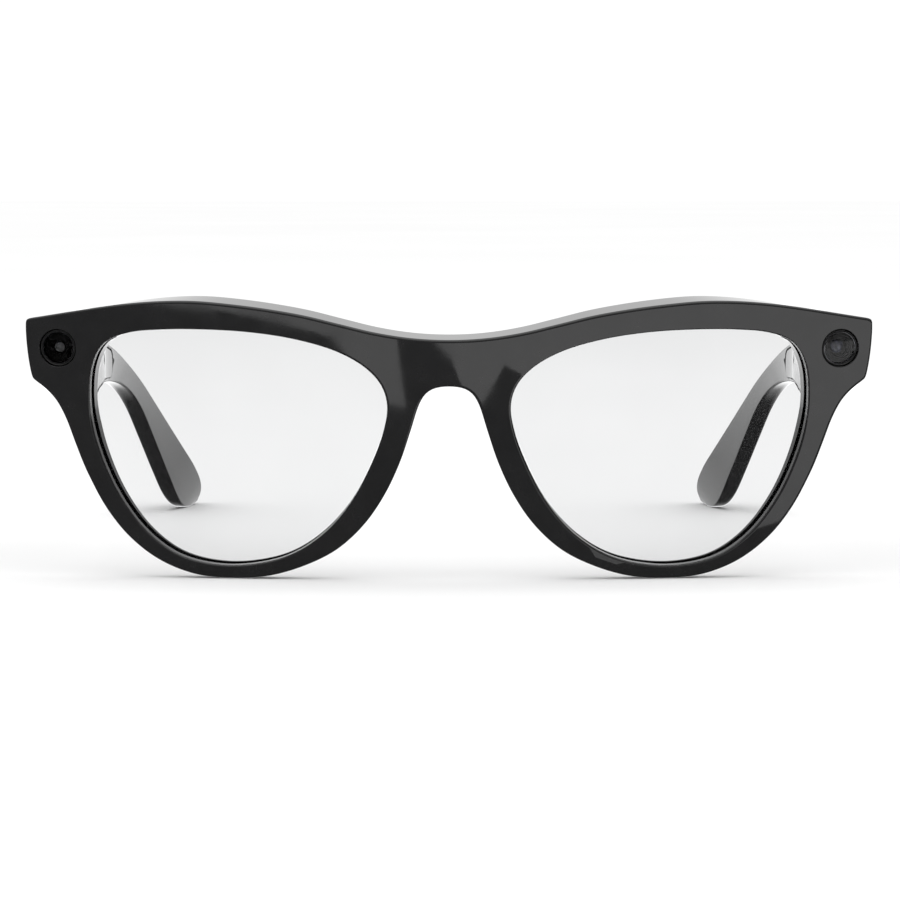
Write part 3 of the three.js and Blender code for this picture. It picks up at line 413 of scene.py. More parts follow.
def slab(name, contours, near, far, spacing, near_pits=(), far_pits=(), place=to_frame):
    """A body between two depth functions, with rounded edges, grooves, and pits sunk into either side.
    near and far give depth at (u, v). A pit is its loop, its depth, its edge's rounding, and its sideways
    shift for each millimetre of depth."""
    made = Builder()

    def face_normals(points, depth_at, sign):
        step = 0.01
        u, v = points.T
        du = (depth_at(u + step, v) - depth_at(u - step, v)) / (2 * step)
        dv = (depth_at(u, v + step) - depth_at(u, v - step)) / (2 * step)
        return unit(np.stack([-du, -dv, np.ones(len(points))], axis=1) * sign)

    def row(flat, depth, normals):
        return made.add(np.column_stack([flat, depth]), normals)

    def rounding(contour, depth_at, sign, radius, order):
        rows = []
        for k in order:
            angle = math.pi / 2 * k / ROUND_STEPS
            flat = contour.inward(radius * (1 - math.cos(angle)))
            depth = depth_at(flat[:, 0], flat[:, 1]) - sign * radius * (1 - math.sin(angle))
            face = face_normals(flat, depth_at, sign)
            out = np.column_stack([contour.out, np.zeros(len(flat))])
            rows.append(row(flat, depth, unit(out * math.cos(angle) + face * math.sin(angle))))
        return rows

    face_rows = {-1: [], 1: []}
    for contour in contours:
        near_rows = rounding(contour, near, -1, contour.near_round, range(ROUND_STEPS, -1, -1))
        far_rows = rounding(contour, far, 1, contour.far_round, range(0, ROUND_STEPS + 1))
        middle = []
        if contour.groove:
            shallow, deep, bite = contour.groove
            out = np.column_stack([contour.out, np.zeros(len(contour.loop))])
            for distance, depth, n in (
                (0, shallow, out), (0, shallow, None), (bite, shallow, None), (bite, shallow, out),
                (bite, deep, out), (bite, deep, None), (0, deep, None), (0, deep, out),
            ):
                flat = contour.inward(np.full(len(contour.loop), float(distance)))
                if n is None:
                    sign = 1.0 if depth == shallow else -1.0
                    n = np.tile([0, 0, sign], (len(flat), 1))
                middle.append(row(flat, np.full(len(flat), depth), n))
        else:
            u, v = contour.loop.T
            start, end = near(u, v) + contour.near_round, far(u, v) - contour.far_round
            wall = np.column_stack([contour.out, np.zeros(len(u))])
            middle = [row(contour.loop, start + (end - start) * share, wall) for share in WALL_STEPS]
        rows = near_rows + middle + far_rows
        for a, b in zip(rows, rows[1:]):
            if contour.side > 0:
                made.strip(a, b)
            else:
                made.strip(b, a)
        face_rows[-1].append(near_rows[0])
        face_rows[1].append(far_rows[-1])

    for sign, depth_at, pits in ((-1, near, near_pits), (1, far, far_pits)):
        loops = [np.vstack(made.points)[r][:, :2] for r in face_rows[sign]]
        ids = list(face_rows[sign])
        for loop, depth, soft, shear in pits:
            loop = counterclockwise(loop)
            out = outward(loop)
            rows = []
            for k in range(PIT_STEPS + 1):
                angle = math.pi / 2 * k / PIT_STEPS
                flat = loop + out * (soft * (1 - math.sin(angle)))
                edge_depth = depth_at(flat[:, 0], flat[:, 1]) - sign * soft * (1 - math.cos(angle))
                n = face_normals(flat, depth_at, sign) * math.cos(angle)
                n[:, :2] -= out * math.sin(angle)
                rows.append(row(flat, edge_depth, unit(n)))
            deep = loop + np.array([shear * depth, 0])
            floor_depth = depth_at(loop[:, 0], loop[:, 1]) - sign * depth
            wall = np.column_stack([-out, np.zeros(len(loop))])
            rows.append(row(deep, floor_depth, wall))
            for a, b in zip(rows, rows[1:]):
                if sign < 0:
                    made.strip(b, a)
                else:
                    made.strip(a, b)
            bottom = row(deep, floor_depth, face_normals(deep, depth_at, sign))
            _, tris = filled([loop], 0)
            made.triangles(bottom[tris if sign > 0 else tris[:, ::-1]])
            loops.append(loop + out * soft)
            ids.append(rows[0])
        inner, tris = filled(loops, spacing)
        inner_ids = []
        if len(inner):
            inner_ids = row(inner, depth_at(inner[:, 0], inner[:, 1]), face_normals(inner, depth_at, sign))
        lookup = np.concatenate([*ids, inner_ids]).astype(int)
        made.triangles(lookup[tris if sign > 0 else tris[:, ::-1]])

    points, normals, mirrors = placed_mesh(place, np.vstack(made.points), np.vstack(made.normals))
    faces = [face[::-1] for face in made.faces] if mirrors else made.faces
    return new_object(name, points, faces, normals)


# ------------------------------------------------------------------ placing, finishing and riding
def seated(obj, body, slot_name, material, *nodes):
    """Gives a piece its material and its body, and hides the CAD nodes that it stands for. slot_name is not
    used.
    """
    obj.data.materials.clear()
    obj.data.materials.append(material)
    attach(obj, body)
    if nodes:
        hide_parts(*nodes)
    return obj


def inner_x(y):
    share = np.maximum(0, (np.asarray(y, float) - TURN_START) / (TURN_END - TURN_START))
    return INNER_X - TURN_IN * share**TURN_BEND


def thickness(y):
    back = smoothstep(y, TAPER_START, TAPER_END)
    return (OUTER_X - INNER_X) * (1 - back) + EAR_THICKNESS * back


def outer_round(y, at_hinge):
    back = float(smoothstep(y, TAPER_START, TAPER_END))
    return at_hinge * (1 - back) + EAR_ROUND * back


def side_place(sign):
    """Maps (y, z, depth from a temple's inner side) to the row frame."""
    def place(p):
        y, z, depth = p[:, 0], p[:, 1], p[:, 2]
        return np.stack([sign * (inner_x(y) + depth), y + ORIGIN_Y, z], axis=1)
    return place


def flat_place(matrix):
    """Maps (a, b, depth) to the row frame by a matrix."""
    m = np.array(matrix)
    def place(p):
        return p @ m[:3, :3].T + m[:3, 3]
    return place


def on_side(sign, matrix):
    """A place on the wearer's left, or its mirror image on the right."""
    return Matrix.Diagonal((sign, 1, 1, 1)) @ matrix


def lathe(name, profile, matrix, segments=96, crease=35):
    """A closed body turned around the matrix's own Y axis from (radius, along) points."""
    points, rings = [], []
    for radius, along in profile:
        if radius < 1e-9:
            rings.append([len(points)])
            points.append((0, along, 0))
            continue
        rings.append(list(range(len(points), len(points) + segments)))
        for i in range(segments):
            angle = 2 * math.pi * i / segments
            points.append((radius * math.cos(angle), along, -radius * math.sin(angle)))
    faces = []
    for a, b in zip(rings, rings[1:] + rings[:1]):
        if len(a) == 1 and len(b) == 1:
            continue
        for i in range(segments):
            j = (i + 1) % segments
            if len(a) == 1:
                faces.append((a[0], b[i], b[j]))
            elif len(b) == 1:
                faces.append((a[i], b[0], a[j]))
            else:
                faces.append((a[i], b[i], b[j], a[j]))
    m = np.array(matrix)
    placed = np.array(points) @ m[:3, :3].T + m[:3, 3]
    if np.linalg.det(m[:3, :3]) < 0:
        faces = [face[::-1] for face in faces]
    obj = new_object(name, placed, faces)
    outward_faces(obj)
    obj.data.set_sharp_from_angle(angle=math.radians(crease))
    return obj


def outward_faces(obj):
    """Turns a closed mesh's faces outwards."""
    mesh = bmesh.new()
    mesh.from_mesh(obj.data)
    bmesh.ops.recalc_face_normals(mesh, faces=mesh.faces)
    mesh.to_mesh(obj.data)
    mesh.free()
    obj.data.polygons.foreach_set("use_smooth", [True] * len(obj.data.polygons))


def rounded_loop(corners, radius, steps=6):
    """A polygon with its corners rounded. A corner may have its own radius as a third number; 0 keeps it."""
    loop = []
    n = len(corners)
    for i, corner in enumerate(corners):
        here = np.array(corner[:2], float)
        r = corner[2] if len(corner) > 2 else radius
        before = np.array(corners[i - 1][:2], float)
        after = np.array(corners[(i + 1) % n][:2], float)
        if r == 0:
            loop.append(here)
            continue
        a = (before - here) / np.linalg.norm(before - here)
        b = (after - here) / np.linalg.norm(after - here)
        half = math.acos(np.clip(a @ b, -1, 1)) / 2
        reach = r / math.tan(half)
        centre = here + (a + b) / np.linalg.norm(a + b) * r / math.sin(half)
        start, end = here + a * reach - centre, here + b * reach - centre
        turn = math.atan2(start[0] * end[1] - start[1] * end[0], start @ end)
        for k in range(steps + 1):
            angle = turn * k / steps
            loop.append(centre + turned_by(start, angle))
    return counterclockwise(np.array(loop))


def rectangle(a0, a1, b0, b1, radius, steps=6):
    return rounded_loop([(a0, b0), (a1, b0), (a1, b1), (a0, b1)], radius, steps)


def level(depth):
    return lambda a, b: np.full(np.shape(a), float(depth))


# ------------------------------------------------------------------ temples and their parts
def stations(sections, spacing):
    return respaced(catmull(sections, False, TEMPLE_CURVE_STEPS), spacing, False)


def ring_at(section, slim):
    """One rounded cross-section of a temple on the wearer's left: points in row x, side y and z."""
    top, low = section[:2], section[2:]
    middle, up = (top + low) / 2, top - low
    half_height = np.linalg.norm(up) / 2
    half_width = slim * thickness(middle[0]) / 2
    up = up / np.linalg.norm(up)
    ring = []
    upper, lower = (outer_round(middle[0], at_hinge) for at_hinge in (UPPER_ROUND, LOWER_ROUND))
    most = MOST_ROUND * min(half_height, 2 * half_width - INNER_ROUND)
    for across, along, radius in ((1, 1, upper), (-1, 1, INNER_ROUND), (-1, -1, INNER_ROUND), (1, -1, lower)):
        r = min(radius, most)
        for i in range(RING_STEPS + 1):
            step = i if across == along else RING_STEPS - i
            angle = step * math.pi / 2 / RING_STEPS
            x = across * (half_width - r + r * math.cos(angle))
            t = along * (half_height - r + r * math.sin(angle))
            y = middle[0] + up[0] * t
            ring.append((float(inner_x(y) + thickness(y) / 2) + x, y, middle[1] + up[1] * t))
    points, size = [], RING_STEPS + 1
    for k in range(4):
        points += ring[k * size : (k + 1) * size]
        a, b = np.array(ring[(k + 1) * size - 1]), np.array(ring[((k + 1) % 4) * size])
        points += [tuple(a + (b - a) * i / (SIDE_FILL + 1)) for i in range(1, SIDE_FILL + 1)]
    return points


def tip_slim(share):
    """How much of the full width a temple keeps, by the share of its length."""
    x = np.clip((share - TIP_START) / (1 - TIP_START), 0, 1)
    return 1 - TIP_LOSS * x**TIP_BEND


def loft(name, sections, spacing, slims=False):
    """A solid on the wearer's left through rounded cross-sections."""
    rows = stations(sections, spacing)
    points, faces = [], []
    for i, section in enumerate(rows):
        slim = float(tip_slim(i / (len(rows) - 1))) if slims else 1.0
        points += ring_at(section, slim)
    size = len(points) // len(rows)
    for i in range(len(rows) - 1):
        for j in range(size):
            k = (j + 1) % size
            faces.append((i * size + j, i * size + k, (i + 1) * size + k, (i + 1) * size + j))
    faces.append(tuple(range(size)))
    faces.append(tuple(range((len(rows) - 1) * size, len(rows) * size)))
    obj = new_object(name, np.array(points) + (0, ORIGIN_Y, 0), faces)
    outward_faces(obj)
    return obj


CARVED_CREASE = math.radians(32)


def carve(obj, cutters):
    """Cuts the bodies out of the object, and deletes them."""
    for cutter in cutters:
        modifier = obj.modifiers.new("cut", "BOOLEAN")
        modifier.object = cutter
        modifier.operation = "DIFFERENCE"
        modifier.solver = "EXACT"
    bpy.context.view_layer.update()
    evaluated = obj.evaluated_get(bpy.context.evaluated_depsgraph_get())
    mesh = bpy.data.meshes.new_from_object(evaluated)
    obj.modifiers.clear()
    obj.data = mesh
    for cutter in cutters:
        bpy.data.objects.remove(cutter)
    mesh.set_sharp_from_angle(angle=CARVED_CREASE)
    weigh = obj.modifiers.new("even shading", "WEIGHTED_NORMAL")
    weigh.keep_sharp = True
    return obj


def mirrored(obj):
    """Turns a piece of the wearer's left into its twin on the right."""
    obj.data.transform(Matrix.Diagonal((-1, 1, 1, 1)))
    obj.data.flip_normals()
    return obj


def pocket(name, loop, near, far, place, soft=0.05):
    """A cutter with flat ends at two depths."""
    return slab(name, [Contour(loop, 1, soft, soft)], level(near), level(far), 0, place=place)


def side_edges(front, back, inset):
    """A temple's top and lower edge between two places, drawn in by an inset: rows of (y, z)."""
    rows = stations(TEMPLE_SECTIONS, 0.8)
    ys = np.linspace(front, back, 40)
    top = np.column_stack([ys, np.interp(ys, rows[:, 0], rows[:, 1]) - inset])
    low = np.column_stack([ys, np.interp(ys, rows[:, 2], rows[:, 3]) + inset])
    return top, low


def cover_loop(inset, front, back, corner=2.2):
    """The inner cover's outline, or one drawn in from it, with round corners."""
    top, low = side_edges(front, back, inset)
    inner = slice(CORNER_ROOM, -CORNER_ROOM)
    corners = [(*low[0], corner)] + [(*p, 0) for p in low[inner]] + [(*low[-1], corner)]
    corners += [(*top[-1], corner)] + [(*p, 0) for p in top[inner][::-1]] + [(*top[0], corner)]
    return rounded_loop(corners, 0)


CORNER_ROOM = 4  # edge points left out beside a round corner
BUTTON_Y = 29.0
BUTTON_HALF = (1.3, 4.5)
BUTTON_LOW = -2.0
PORT_Y = 68.0
PORT_HALF = (1.1, 4.9)
SWITCH_Y = 35.0
SWITCH_Z = 35.4
SWITCH_HALF = (1.2, 0.8)
SWITCH_TRAVEL = 2.0
MOUTH = (67, 70.7, 36, 41.6)
MOUTH_ROUND = 0.6
BUTTON_TILT = math.radians(-5.4)
BUTTON_PLACE = Matrix.Translation((68.85, BUTTON_Y + ORIGIN_Y, 42.35)) @ Matrix.Rotation(BUTTON_TILT, 4, "X")
PORT_TILT = Matrix.Rotation(math.radians(5.7), 4, "X") @ Matrix.Rotation(math.radians(-25), 4, "Y")
PORT_PLACE = Matrix.Translation((68.2, PORT_Y + ORIGIN_Y, 28.5)) @ PORT_TILT
FACING_BACK = Matrix(((1, 0, 0, 0), (0, 0, 1, 0), (0, 1, 0, 0), (0, 0, 0, 1)))
MOUTH_PLACE = Matrix.Translation((0, ORIGIN_Y, 0)) @ FACING_BACK


def centred(half, extra, radius, steps=6):
    """A rounded rectangle about the middle, a little larger than its half sizes."""
    a, b = half[0] + extra, half[1] + extra
    return rectangle(-a, a, -b, b, radius, steps)


def temple(sign):
    """A hollow temple with its cover's seat, the wires' mouth, the speaker port and the button's hole."""
    shell = loft(f"temple_{NAMES[sign]}", TEMPLE_SECTIONS, 1.1, slims=True)
    side = side_place(1)
    seat = cover_loop(COVER_INSET, COVER_FRONT, COVER_BACK)
    room = cover_loop(1.9, COVER_FRONT + 1.4, COVER_BACK - 4, 1.2)
    mouth = rectangle(*MOUTH, MOUTH_ROUND)
    cutters = [
        pocket("seat", seat, -2, COVER_THICKNESS, side, 0.1),
        pocket("room", room, 0.4, 3.0, side, 0.2),
        pocket("mouth", mouth, JOINT_Y - 2, JOINT_Y + 6, flat_place(MOUTH_PLACE), 0.1),
        pocket("port", centred(PORT_HALF, GAP, 1.15), -3, 1.2, flat_place(PORT_PLACE)),
    ]
    if sign < 0:
        hole = centred(BUTTON_HALF, GAP, 1.35)
        cutters.append(pocket("hole", hole, BUTTON_LOW - 0.6, 3, flat_place(BUTTON_PLACE)))
    carve(shell, cutters)
    return shell if sign > 0 else mirrored(shell)


def endpiece(sign):
    """The hollow block between the front and a temple."""
    block = loft(f"endpiece_{NAMES[sign]}", ENDPIECE_SECTIONS, 0.6)
    mouth = rectangle(*MOUTH, MOUTH_ROUND)
    room = pocket("room", mouth, JOINT_Y - 3.2, JOINT_Y + 3, flat_place(MOUTH_PLACE), 0.1)
    front = slab("front", [Contour(rectangle(40, 90, -20, 70, 1), 1, 0.05, 0.05)],
                 level(-40), cover_face(-0.6), 8)
    carve(block, [room, front])
    return block if sign > 0 else mirrored(block)


# ------------------------------------------------------------------ materials
NOISE_MIDDLE = (0.35, 0.65)


def map_range(tree, source, *limits):
    """Maps the values between the first two limits to those between the last two."""
    node = tree.nodes.new("ShaderNodeMapRange")
    for socket, value in zip(("From Min", "From Max", "To Min", "To Max"), limits):
        node.inputs[socket].default_value = value
    tree.links.new(source, node.inputs["Value"])
    return node.outputs["Result"]


class Nodes:
    """Short ways to add and join the nodes of one material."""

    def __init__(self, name, **sockets):
        self.material = bpy.data.materials.new(name)
        self.material.use_nodes = True
        self.tree = self.material.node_tree
        self.shader = self.tree.nodes["Principled BSDF"]
        for socket, value in sockets.items():
            self.shader.inputs[socket.replace("_", " ")].default_value = value
        self.place = self.tree.nodes.new("ShaderNodeTexCoord").outputs["Object"]

    def link(self, source, target):
        self.tree.links.new(source, target)

    def mapped(self, scale):
        node = self.tree.nodes.new("ShaderNodeMapping")
        node.inputs["Scale"].default_value = scale
        self.link(self.place, node.inputs["Vector"])
        return node.outputs["Vector"]

    def noise(self, scale, detail, distortion=0.0, stretch=None):
        node = self.tree.nodes.new("ShaderNodeTexNoise")
        node.inputs["Scale"].default_value = scale
        node.inputs["Detail"].default_value = detail
        node.inputs["Distortion"].default_value = distortion
        self.link(self.mapped(stretch) if stretch else self.place, node.inputs["Vector"])
        return node.outputs["Fac"]

    def ramp(self, source, low, high):
        """Maps the middle of a noise's values between two others, as numbers or as colours."""
        if isinstance(low, (int, float)):
            return map_range(self.tree, source, *NOISE_MIDDLE, low, high)
        node = self.tree.nodes.new("ShaderNodeValToRGB")
        for element, at, colour in zip(node.color_ramp.elements, NOISE_MIDDLE, (low, high)):
            element.position = at
            element.color = (*colour, 1)
        self.link(source, node.inputs["Fac"])
        return node.outputs["Color"]

    def bump(self, height, strength, distance):
        node = self.tree.nodes.new("ShaderNodeBump")
        node.inputs["Strength"].default_value = strength
        node.inputs["Distance"].default_value = distance
        self.link(height, node.inputs["Height"])
        if self.shader.inputs["Normal"].is_linked:
            self.link(self.shader.inputs["Normal"].links[0].from_socket, node.inputs["Normal"])
        self.link(node.outputs["Normal"], self.shader.inputs["Normal"])


def finish(name, shades, grain, roughness, rough_grain, reliefs, **sockets):
    """A material whose colour, roughness and fine relief each follow a noise. A grain is the noise's scale
    and detail, with its distortion and stretch if it has them. A relief is a grain, a strength, a height."""
    n = Nodes(name, **sockets)
    n.link(n.ramp(n.noise(*grain), *shades), n.shader.inputs["Base Color"])
    n.link(n.ramp(n.noise(*rough_grain), *roughness), n.shader.inputs["Roughness"])
    for relief, strength, height in reliefs:
        n.bump(n.noise(*relief), strength, height)
    return n


def gloss_black():
    """Polished moulded nylon: near-black, with a lacquer's faint waviness, handling marks and fine dust."""
    return finish("gloss_black", [(0.0116, 0.0116, 0.0119), (0.0142, 0.0142, 0.0146)], (240, 4),
                  (0.03, 0.07), (130, 5, 0.6), [((420, 2), 0.01, 0.0001), ((2600, 3), 0.012, 0.00003)],
                  IOR=1.5, Coat_Weight=0.0).material


def satin_black(name="satin_black", shade=0.012, roughness=0.42):
    """Fine-eroded moulding: an even grain. Its colour follows the same noise as its relief, so the high spots
    are a little lighter, a painted highlight, and the hollows darker, painted shade.
    """
    grain = (5200, 4)
    # the colour and the relief share the grain's noise: painted highlight on the high spots, painted shade in
    # the hollows
    return finish(name, [(shade * 0.7,) * 3, (shade * 1.5,) * 3], grain,
                  (roughness - 0.08, roughness + 0.1), (900, 5), [(grain, 0.25, 0.00004)], IOR=1.5).material


def steel(name="steel", shade=0.52, stretch=(900, 900, 90)):
    """Turned or stamped steel with fine drawn lines and darker patches of handling."""
    lines = (6, 6, 0.0, stretch)
    return finish(name, [(shade * 0.82,) * 3, (shade * 1.08, shade * 1.07, shade * 1.05)], (500, 5),
                  (0.2, 0.38), lines, [(lines, 0.12, 0.00003)], Metallic=1.0).material


def tinted_metal(name, low, high):
    return finish(name, [low, high], (1400, 5), (0.14, 0.3), (3000, 4), [((4200, 3), 0.1, 0.00002)],
                  Metallic=1.0).material


def dull(name, low, high, scale, roughness=0.5, strength=0.2):
    """An inner part's finish: board lacquer, film, foil or moulding, by its two shades and its grain."""
    grain = (scale, 5, 0.4)
    return finish(name, [low, high], grain, (roughness - 0.08, roughness + 0.1), (scale * 2.3, 4),
                  [(grain, strength, 0.00005)]).material


def camera_glass():
    """The coated front element: deep blue-grey with a slightly violet cast."""
    return finish("camera_glass", [(0.075, 0.085, 0.14), (0.11, 0.12, 0.19)], (700, 3),
                  (0.05, 0.12), (2500, 3), [((1200, 2), 0.02, 0.00003)],
                  IOR=1.6, Coat_Weight=1.0, Coat_Roughness=0.02).material


def frosted_guide():
    return finish("frosted_guide", [(0.62, 0.63, 0.65), (0.8, 0.81, 0.83)], (1300, 4),
                  (0.25, 0.4), (4000, 4), [((6000, 3), 0.1, 0.00002)], IOR=1.45).material


def through_lamps(n, tint):
    """Lets lamps' light through glass, so that it casts only a faint shadow."""
    clear = n.tree.nodes.new("ShaderNodeBsdfTransparent")
    clear.inputs["Color"].default_value = (*tint, 1)
    path = n.tree.nodes.new("ShaderNodeLightPath")
    mix = n.tree.nodes.new("ShaderNodeMixShader")
    n.link(path.outputs["Is Shadow Ray"], mix.inputs["Fac"])
    n.link(n.shader.outputs["BSDF"], mix.inputs[1])
    n.link(clear.outputs["BSDF"], mix.inputs[2])
    n.link(mix.outputs["Shader"], n.tree.nodes["Material Output"].inputs["Surface"])
    return n.material


def clear_lens():
    """A hard-coated clear lens with the finest polishing haze."""
    n = finish("clear_lens", [(0.773, 0.776, 0.779), (0.787, 0.79, 0.793)], (60, 3),
               (0.0, 0.002), (60, 3), [((30, 1), 0.002, 0.0001)], IOR=1.08, Transmission_Weight=1.0)
    return through_lamps(n, (0.93, 0.935, 0.94))


def window_glass(name, shade, ior):
    """Smoked glass over the camera and the light."""
    n = finish(name, [(shade * 0.95,) * 3, (shade, shade * 1.01, shade * 1.03)], (300, 3),
               (0.0, 0.01), (1500, 4), [((800, 2), 0.004, 0.00005)], IOR=ior, Transmission_Weight=1.0)
    return through_lamps(n, (shade,) * 3)


GLOSS = gloss_black()
SATIN = satin_black()
BARREL_BLACK = satin_black("barrel_black", 0.009, 0.5)
STEEL = steel()
TURNED = steel("turned_steel", 0.5, (300, 300, 2600))
GOLD = tinted_metal("gold", (0.62, 0.42, 0.13), (0.8, 0.58, 0.22))
BOARD = dull("circuit_board", (0.008, 0.06, 0.03), (0.02, 0.12, 0.06), 700)
FLEX = dull("flex_circuit", (0.24, 0.11, 0.02), (0.4, 0.2, 0.035), 500)
FOIL = dull("battery_foil", (0.4, 0.41, 0.43), (0.55, 0.56, 0.58), 350, 0.32, 0.4)
LENS = clear_lens()
GROUND_EDGE = dull("ground_lens_edge", (0.1, 0.1, 0.102), (0.15, 0.15, 0.153), 900)
CAMERA_WINDOW = window_glass("camera_window_glass", 0.6, 1.3)
LIGHT_WINDOW = window_glass("light_window_glass", 0.32, 1.12)


# ------------------------------------------------------------------ the front
FRONT_EDGE = 0.5
RIM_BACK_EDGE = 0.9
BROW_BACK_EDGE = 0.3
BROW_RISES = (28, 36)
BORE_DEPTH = 3.9
SEAT_DEPTH = 0.95
PAD_MIDDLE = (9.6, 22.0)
PAD_LEAN = math.radians(24)
PAD_HALF = (12.5, 5.2)
PAD_HEIGHT = 4.1
LENS_BULGE = 0.7
LENS_MIDDLE = (36, 22.5)
LENS_HALF = (25.2, 20.3)
EDGE_FACES = 0.3  # a lens face whose normal turns from the front by more than this is on the ground edge
CONTACT_U = 3.3
CONTACT_V = 37.6
OPTIC_TURN = math.atan(OPTIC_U / FACE_RADIUS)
FRONT_PLACE = Matrix.Translation((0, ORIGIN_Y, -LOWEST)) @ Matrix.Rotation(LEAN, 4, "X")


def pad_swelling(u, v):
    """How far a nose pad stands out behind its rim."""
    du, dv = np.abs(u) - PAD_MIDDLE[0], v - PAD_MIDDLE[1]
    along = dv * math.cos(PAD_LEAN) - du * math.sin(PAD_LEAN)
    across = du * math.cos(PAD_LEAN) + dv * math.sin(PAD_LEAN)
    r2 = np.clip((along / PAD_HALF[0]) ** 2 + (across / PAD_HALF[1]) ** 2, 0, 1)
    return PAD_HEIGHT * (1 - r2) ** 2


def cover_face(lift):
    return lambda u, v: RIM_DEPTH + BACK_SLOPE * v + lift


def front_back(u, v):
    return cover_face(0)(u, v) + pad_swelling(u, v)


def front():
    outline = front_outline()
    brow = smoothstep(outline[:, 1], *BROW_RISES)
    rim = Contour(outline, 1, FRONT_EDGE, RIM_BACK_EDGE * (1 - brow) + BROW_BACK_EDGE * brow)
    groove = (LENS_FRONT - GAP, LENS_FRONT + LENS_THICKNESS + GAP, LENS_BITE + GAP)
    aperture = aperture_outline()
    holes = [Contour(loop, -1, 0.4, 0.25, groove) for loop in (aperture, flipped_loop(aperture))]
    narrowed, shift = OPTIC_RADIUS * math.cos(OPTIC_TURN), math.tan(OPTIC_TURN)
    bores = [
        (circle((side * OPTIC_U, OPTIC_V), narrowed, OPTIC_RADIUS, 96), BORE_DEPTH, 0.12, -side * shift)
        for side in NAMES
    ]
    seat = [(cover_outline(GAP), SEAT_DEPTH, 0.08, 0.0)]
    body = slab("front_frame_body", [rim, *holes], level(0), front_back, 1.3, bores, seat)
    return seated(body, "front", "gloss_black", GLOSS, "front_frame")


def lens(side):
    """A bulging lens with a ground edge that sits in the rim's groove."""
    loop = aperture_outline()
    loop = loop + outward(loop) * LENS_BITE
    if side < 0:
        loop = flipped_loop(loop)

    def face(depth):
        def depth_at(u, v):
            up = np.clip(1 - ((v - LENS_MIDDLE[1]) / LENS_HALF[1]) ** 2, 0, 1)
            across = np.clip(1 - ((np.abs(u) - LENS_MIDDLE[0]) / LENS_HALF[0]) ** 2, 0, 1)
            return depth - LENS_BULGE * up * across
        return depth_at

    shell = slab(f"lens_{NAMES[side]}_shell", [Contour(loop, 1, 0.12, 0.12)],
                 face(LENS_FRONT), face(LENS_FRONT + LENS_THICKNESS), 1.5)
    seated(shell, "front", "lens", LENS, f"lens_{NAMES[side]}")
    shell.data.materials.append(GROUND_EDGE)
    for polygon in shell.data.polygons:
        polygon.material_index = int(abs(polygon.normal.y) < EDGE_FACES)


def brow_cover():
    holes = [Contour(circle((side * CONTACT_U, CONTACT_V), 1.2, 1.2, 48), -1, 0.05, 0.1) for side in NAMES]
    strip = slab("brow_cover_strip", [Contour(cover_outline(0), 1, 0.05, 0.12), *holes],
                 cover_face(-0.9), cover_face(-0.03), 1.0)
    return seated(strip, "front", "satin_black", SATIN, "brow_cover")


CONTACT_PROFILE = [(0, 4.85), (1.1, 4.85), (1.1, 6.5), (1.02, 6.58), (0.55, 6.6), (0.5, 6.55), (0, 6.53)]


def contact(side):
    place = FRONT_PLACE @ Matrix.Translation((side * CONTACT_U, 0, CONTACT_V))
    pin = lathe(f"charge_contact_{NAMES[side]}_pin", CONTACT_PROFILE, place, 64)
    return seated(pin, "front", "gold_contact", GOLD, f"charge_contact_{NAMES[side]}")


# Turned profiles of the camera and the capture light: radius, and depth behind the front face.
RING_PROFILE = [
    (2.84, 0.55), (2.86, 0.4), (2.9, 0.3), (2.96, 0.25), (3.02, 0.27), (3.08, 0.34), (3.1, 1.8), (2.84, 1.8),
]
LINE_PROFILE = [(2.66, 0.42), (2.68, 0.36), (2.74, 0.34), (2.8, 0.36), (2.82, 0.42), (2.82, 0.9), (2.66, 0.9)]
WINDOW_PROFILE = [(0, 0.45), (2.5, 0.45), (2.6, 0.47), (2.64, 0.52), (2.64, 0.95), (0, 0.95)]
BARREL_PROFILE = [
    (0, 2.9), (1.2, 2.9), (1.2, 2.15), (1.28, 2.05), (1.36, 2.0), (1.42, 1.75), (1.5, 1.7), (1.62, 1.68),
    (1.68, 1.45), (1.78, 1.4), (1.92, 1.38), (1.98, 1.2), (2.1, 1.12), (2.6, 1.1), (2.6, 3.5), (0, 3.5),
]
DOME_PROFILE = [
    (0, 1.62), (0.3, 1.64), (0.6, 1.71), (0.85, 1.83), (1.05, 2.0), (1.15, 2.15), (1.15, 2.7), (0, 2.7),
]
BAFFLE_PROFILE = [(0.92, 1.2), (1.0, 1.12), (2.6, 1.1), (2.6, 1.6), (0.92, 1.6)]
GUIDE_PROFILE = [(0, 1.16), (0.45, 1.18), (0.72, 1.22), (0.84, 1.32), (0.86, 1.7), (1.35, 3.3), (0, 3.3)]


def optic(side, kind, parts):
    spot = Matrix.Translation((side * OPTIC_U, sag(OPTIC_U), OPTIC_V))
    place = FRONT_PLACE @ spot @ Matrix.Rotation(side * OPTIC_TURN, 4, "Z")
    for name, profile, material, slot_name, *nodes in parts:
        seated(lathe(f"{kind}_{name}_turned", profile, place), "front", slot_name, material, *nodes)


def optics():
    glint = tinted_metal("trim_line", (0.10, 0.10, 0.105), (0.16, 0.16, 0.17))
    optic(1, "camera", [
        ("ring", RING_PROFILE, SATIN, "satin_black", "camera_trim_ring"),
        ("line", LINE_PROFILE, glint, "satin_black"),
        ("window", WINDOW_PROFILE, CAMERA_WINDOW, "dark_window", "camera_window"),
        ("barrel", BARREL_PROFILE, BARREL_BLACK, "satin_black", "camera_barrel"),
        ("lens", DOME_PROFILE, camera_glass(), "camera_glass", "camera_lens"),
    ])
    optic(-1, "light", [
        ("ring", RING_PROFILE, SATIN, "satin_black", "light_trim_ring"),
        ("line", LINE_PROFILE, glint, "satin_black"),
        ("window", WINDOW_PROFILE, LIGHT_WINDOW, "dark_window", "light_window"),
        ("baffle", BAFFLE_PROFILE, satin_black("baffle_black", 0.002, 0.6), "satin_black", "light_baffle"),
        ("guide", GUIDE_PROFILE, frosted_guide(), "light_guide", "light_guide"),
    ])


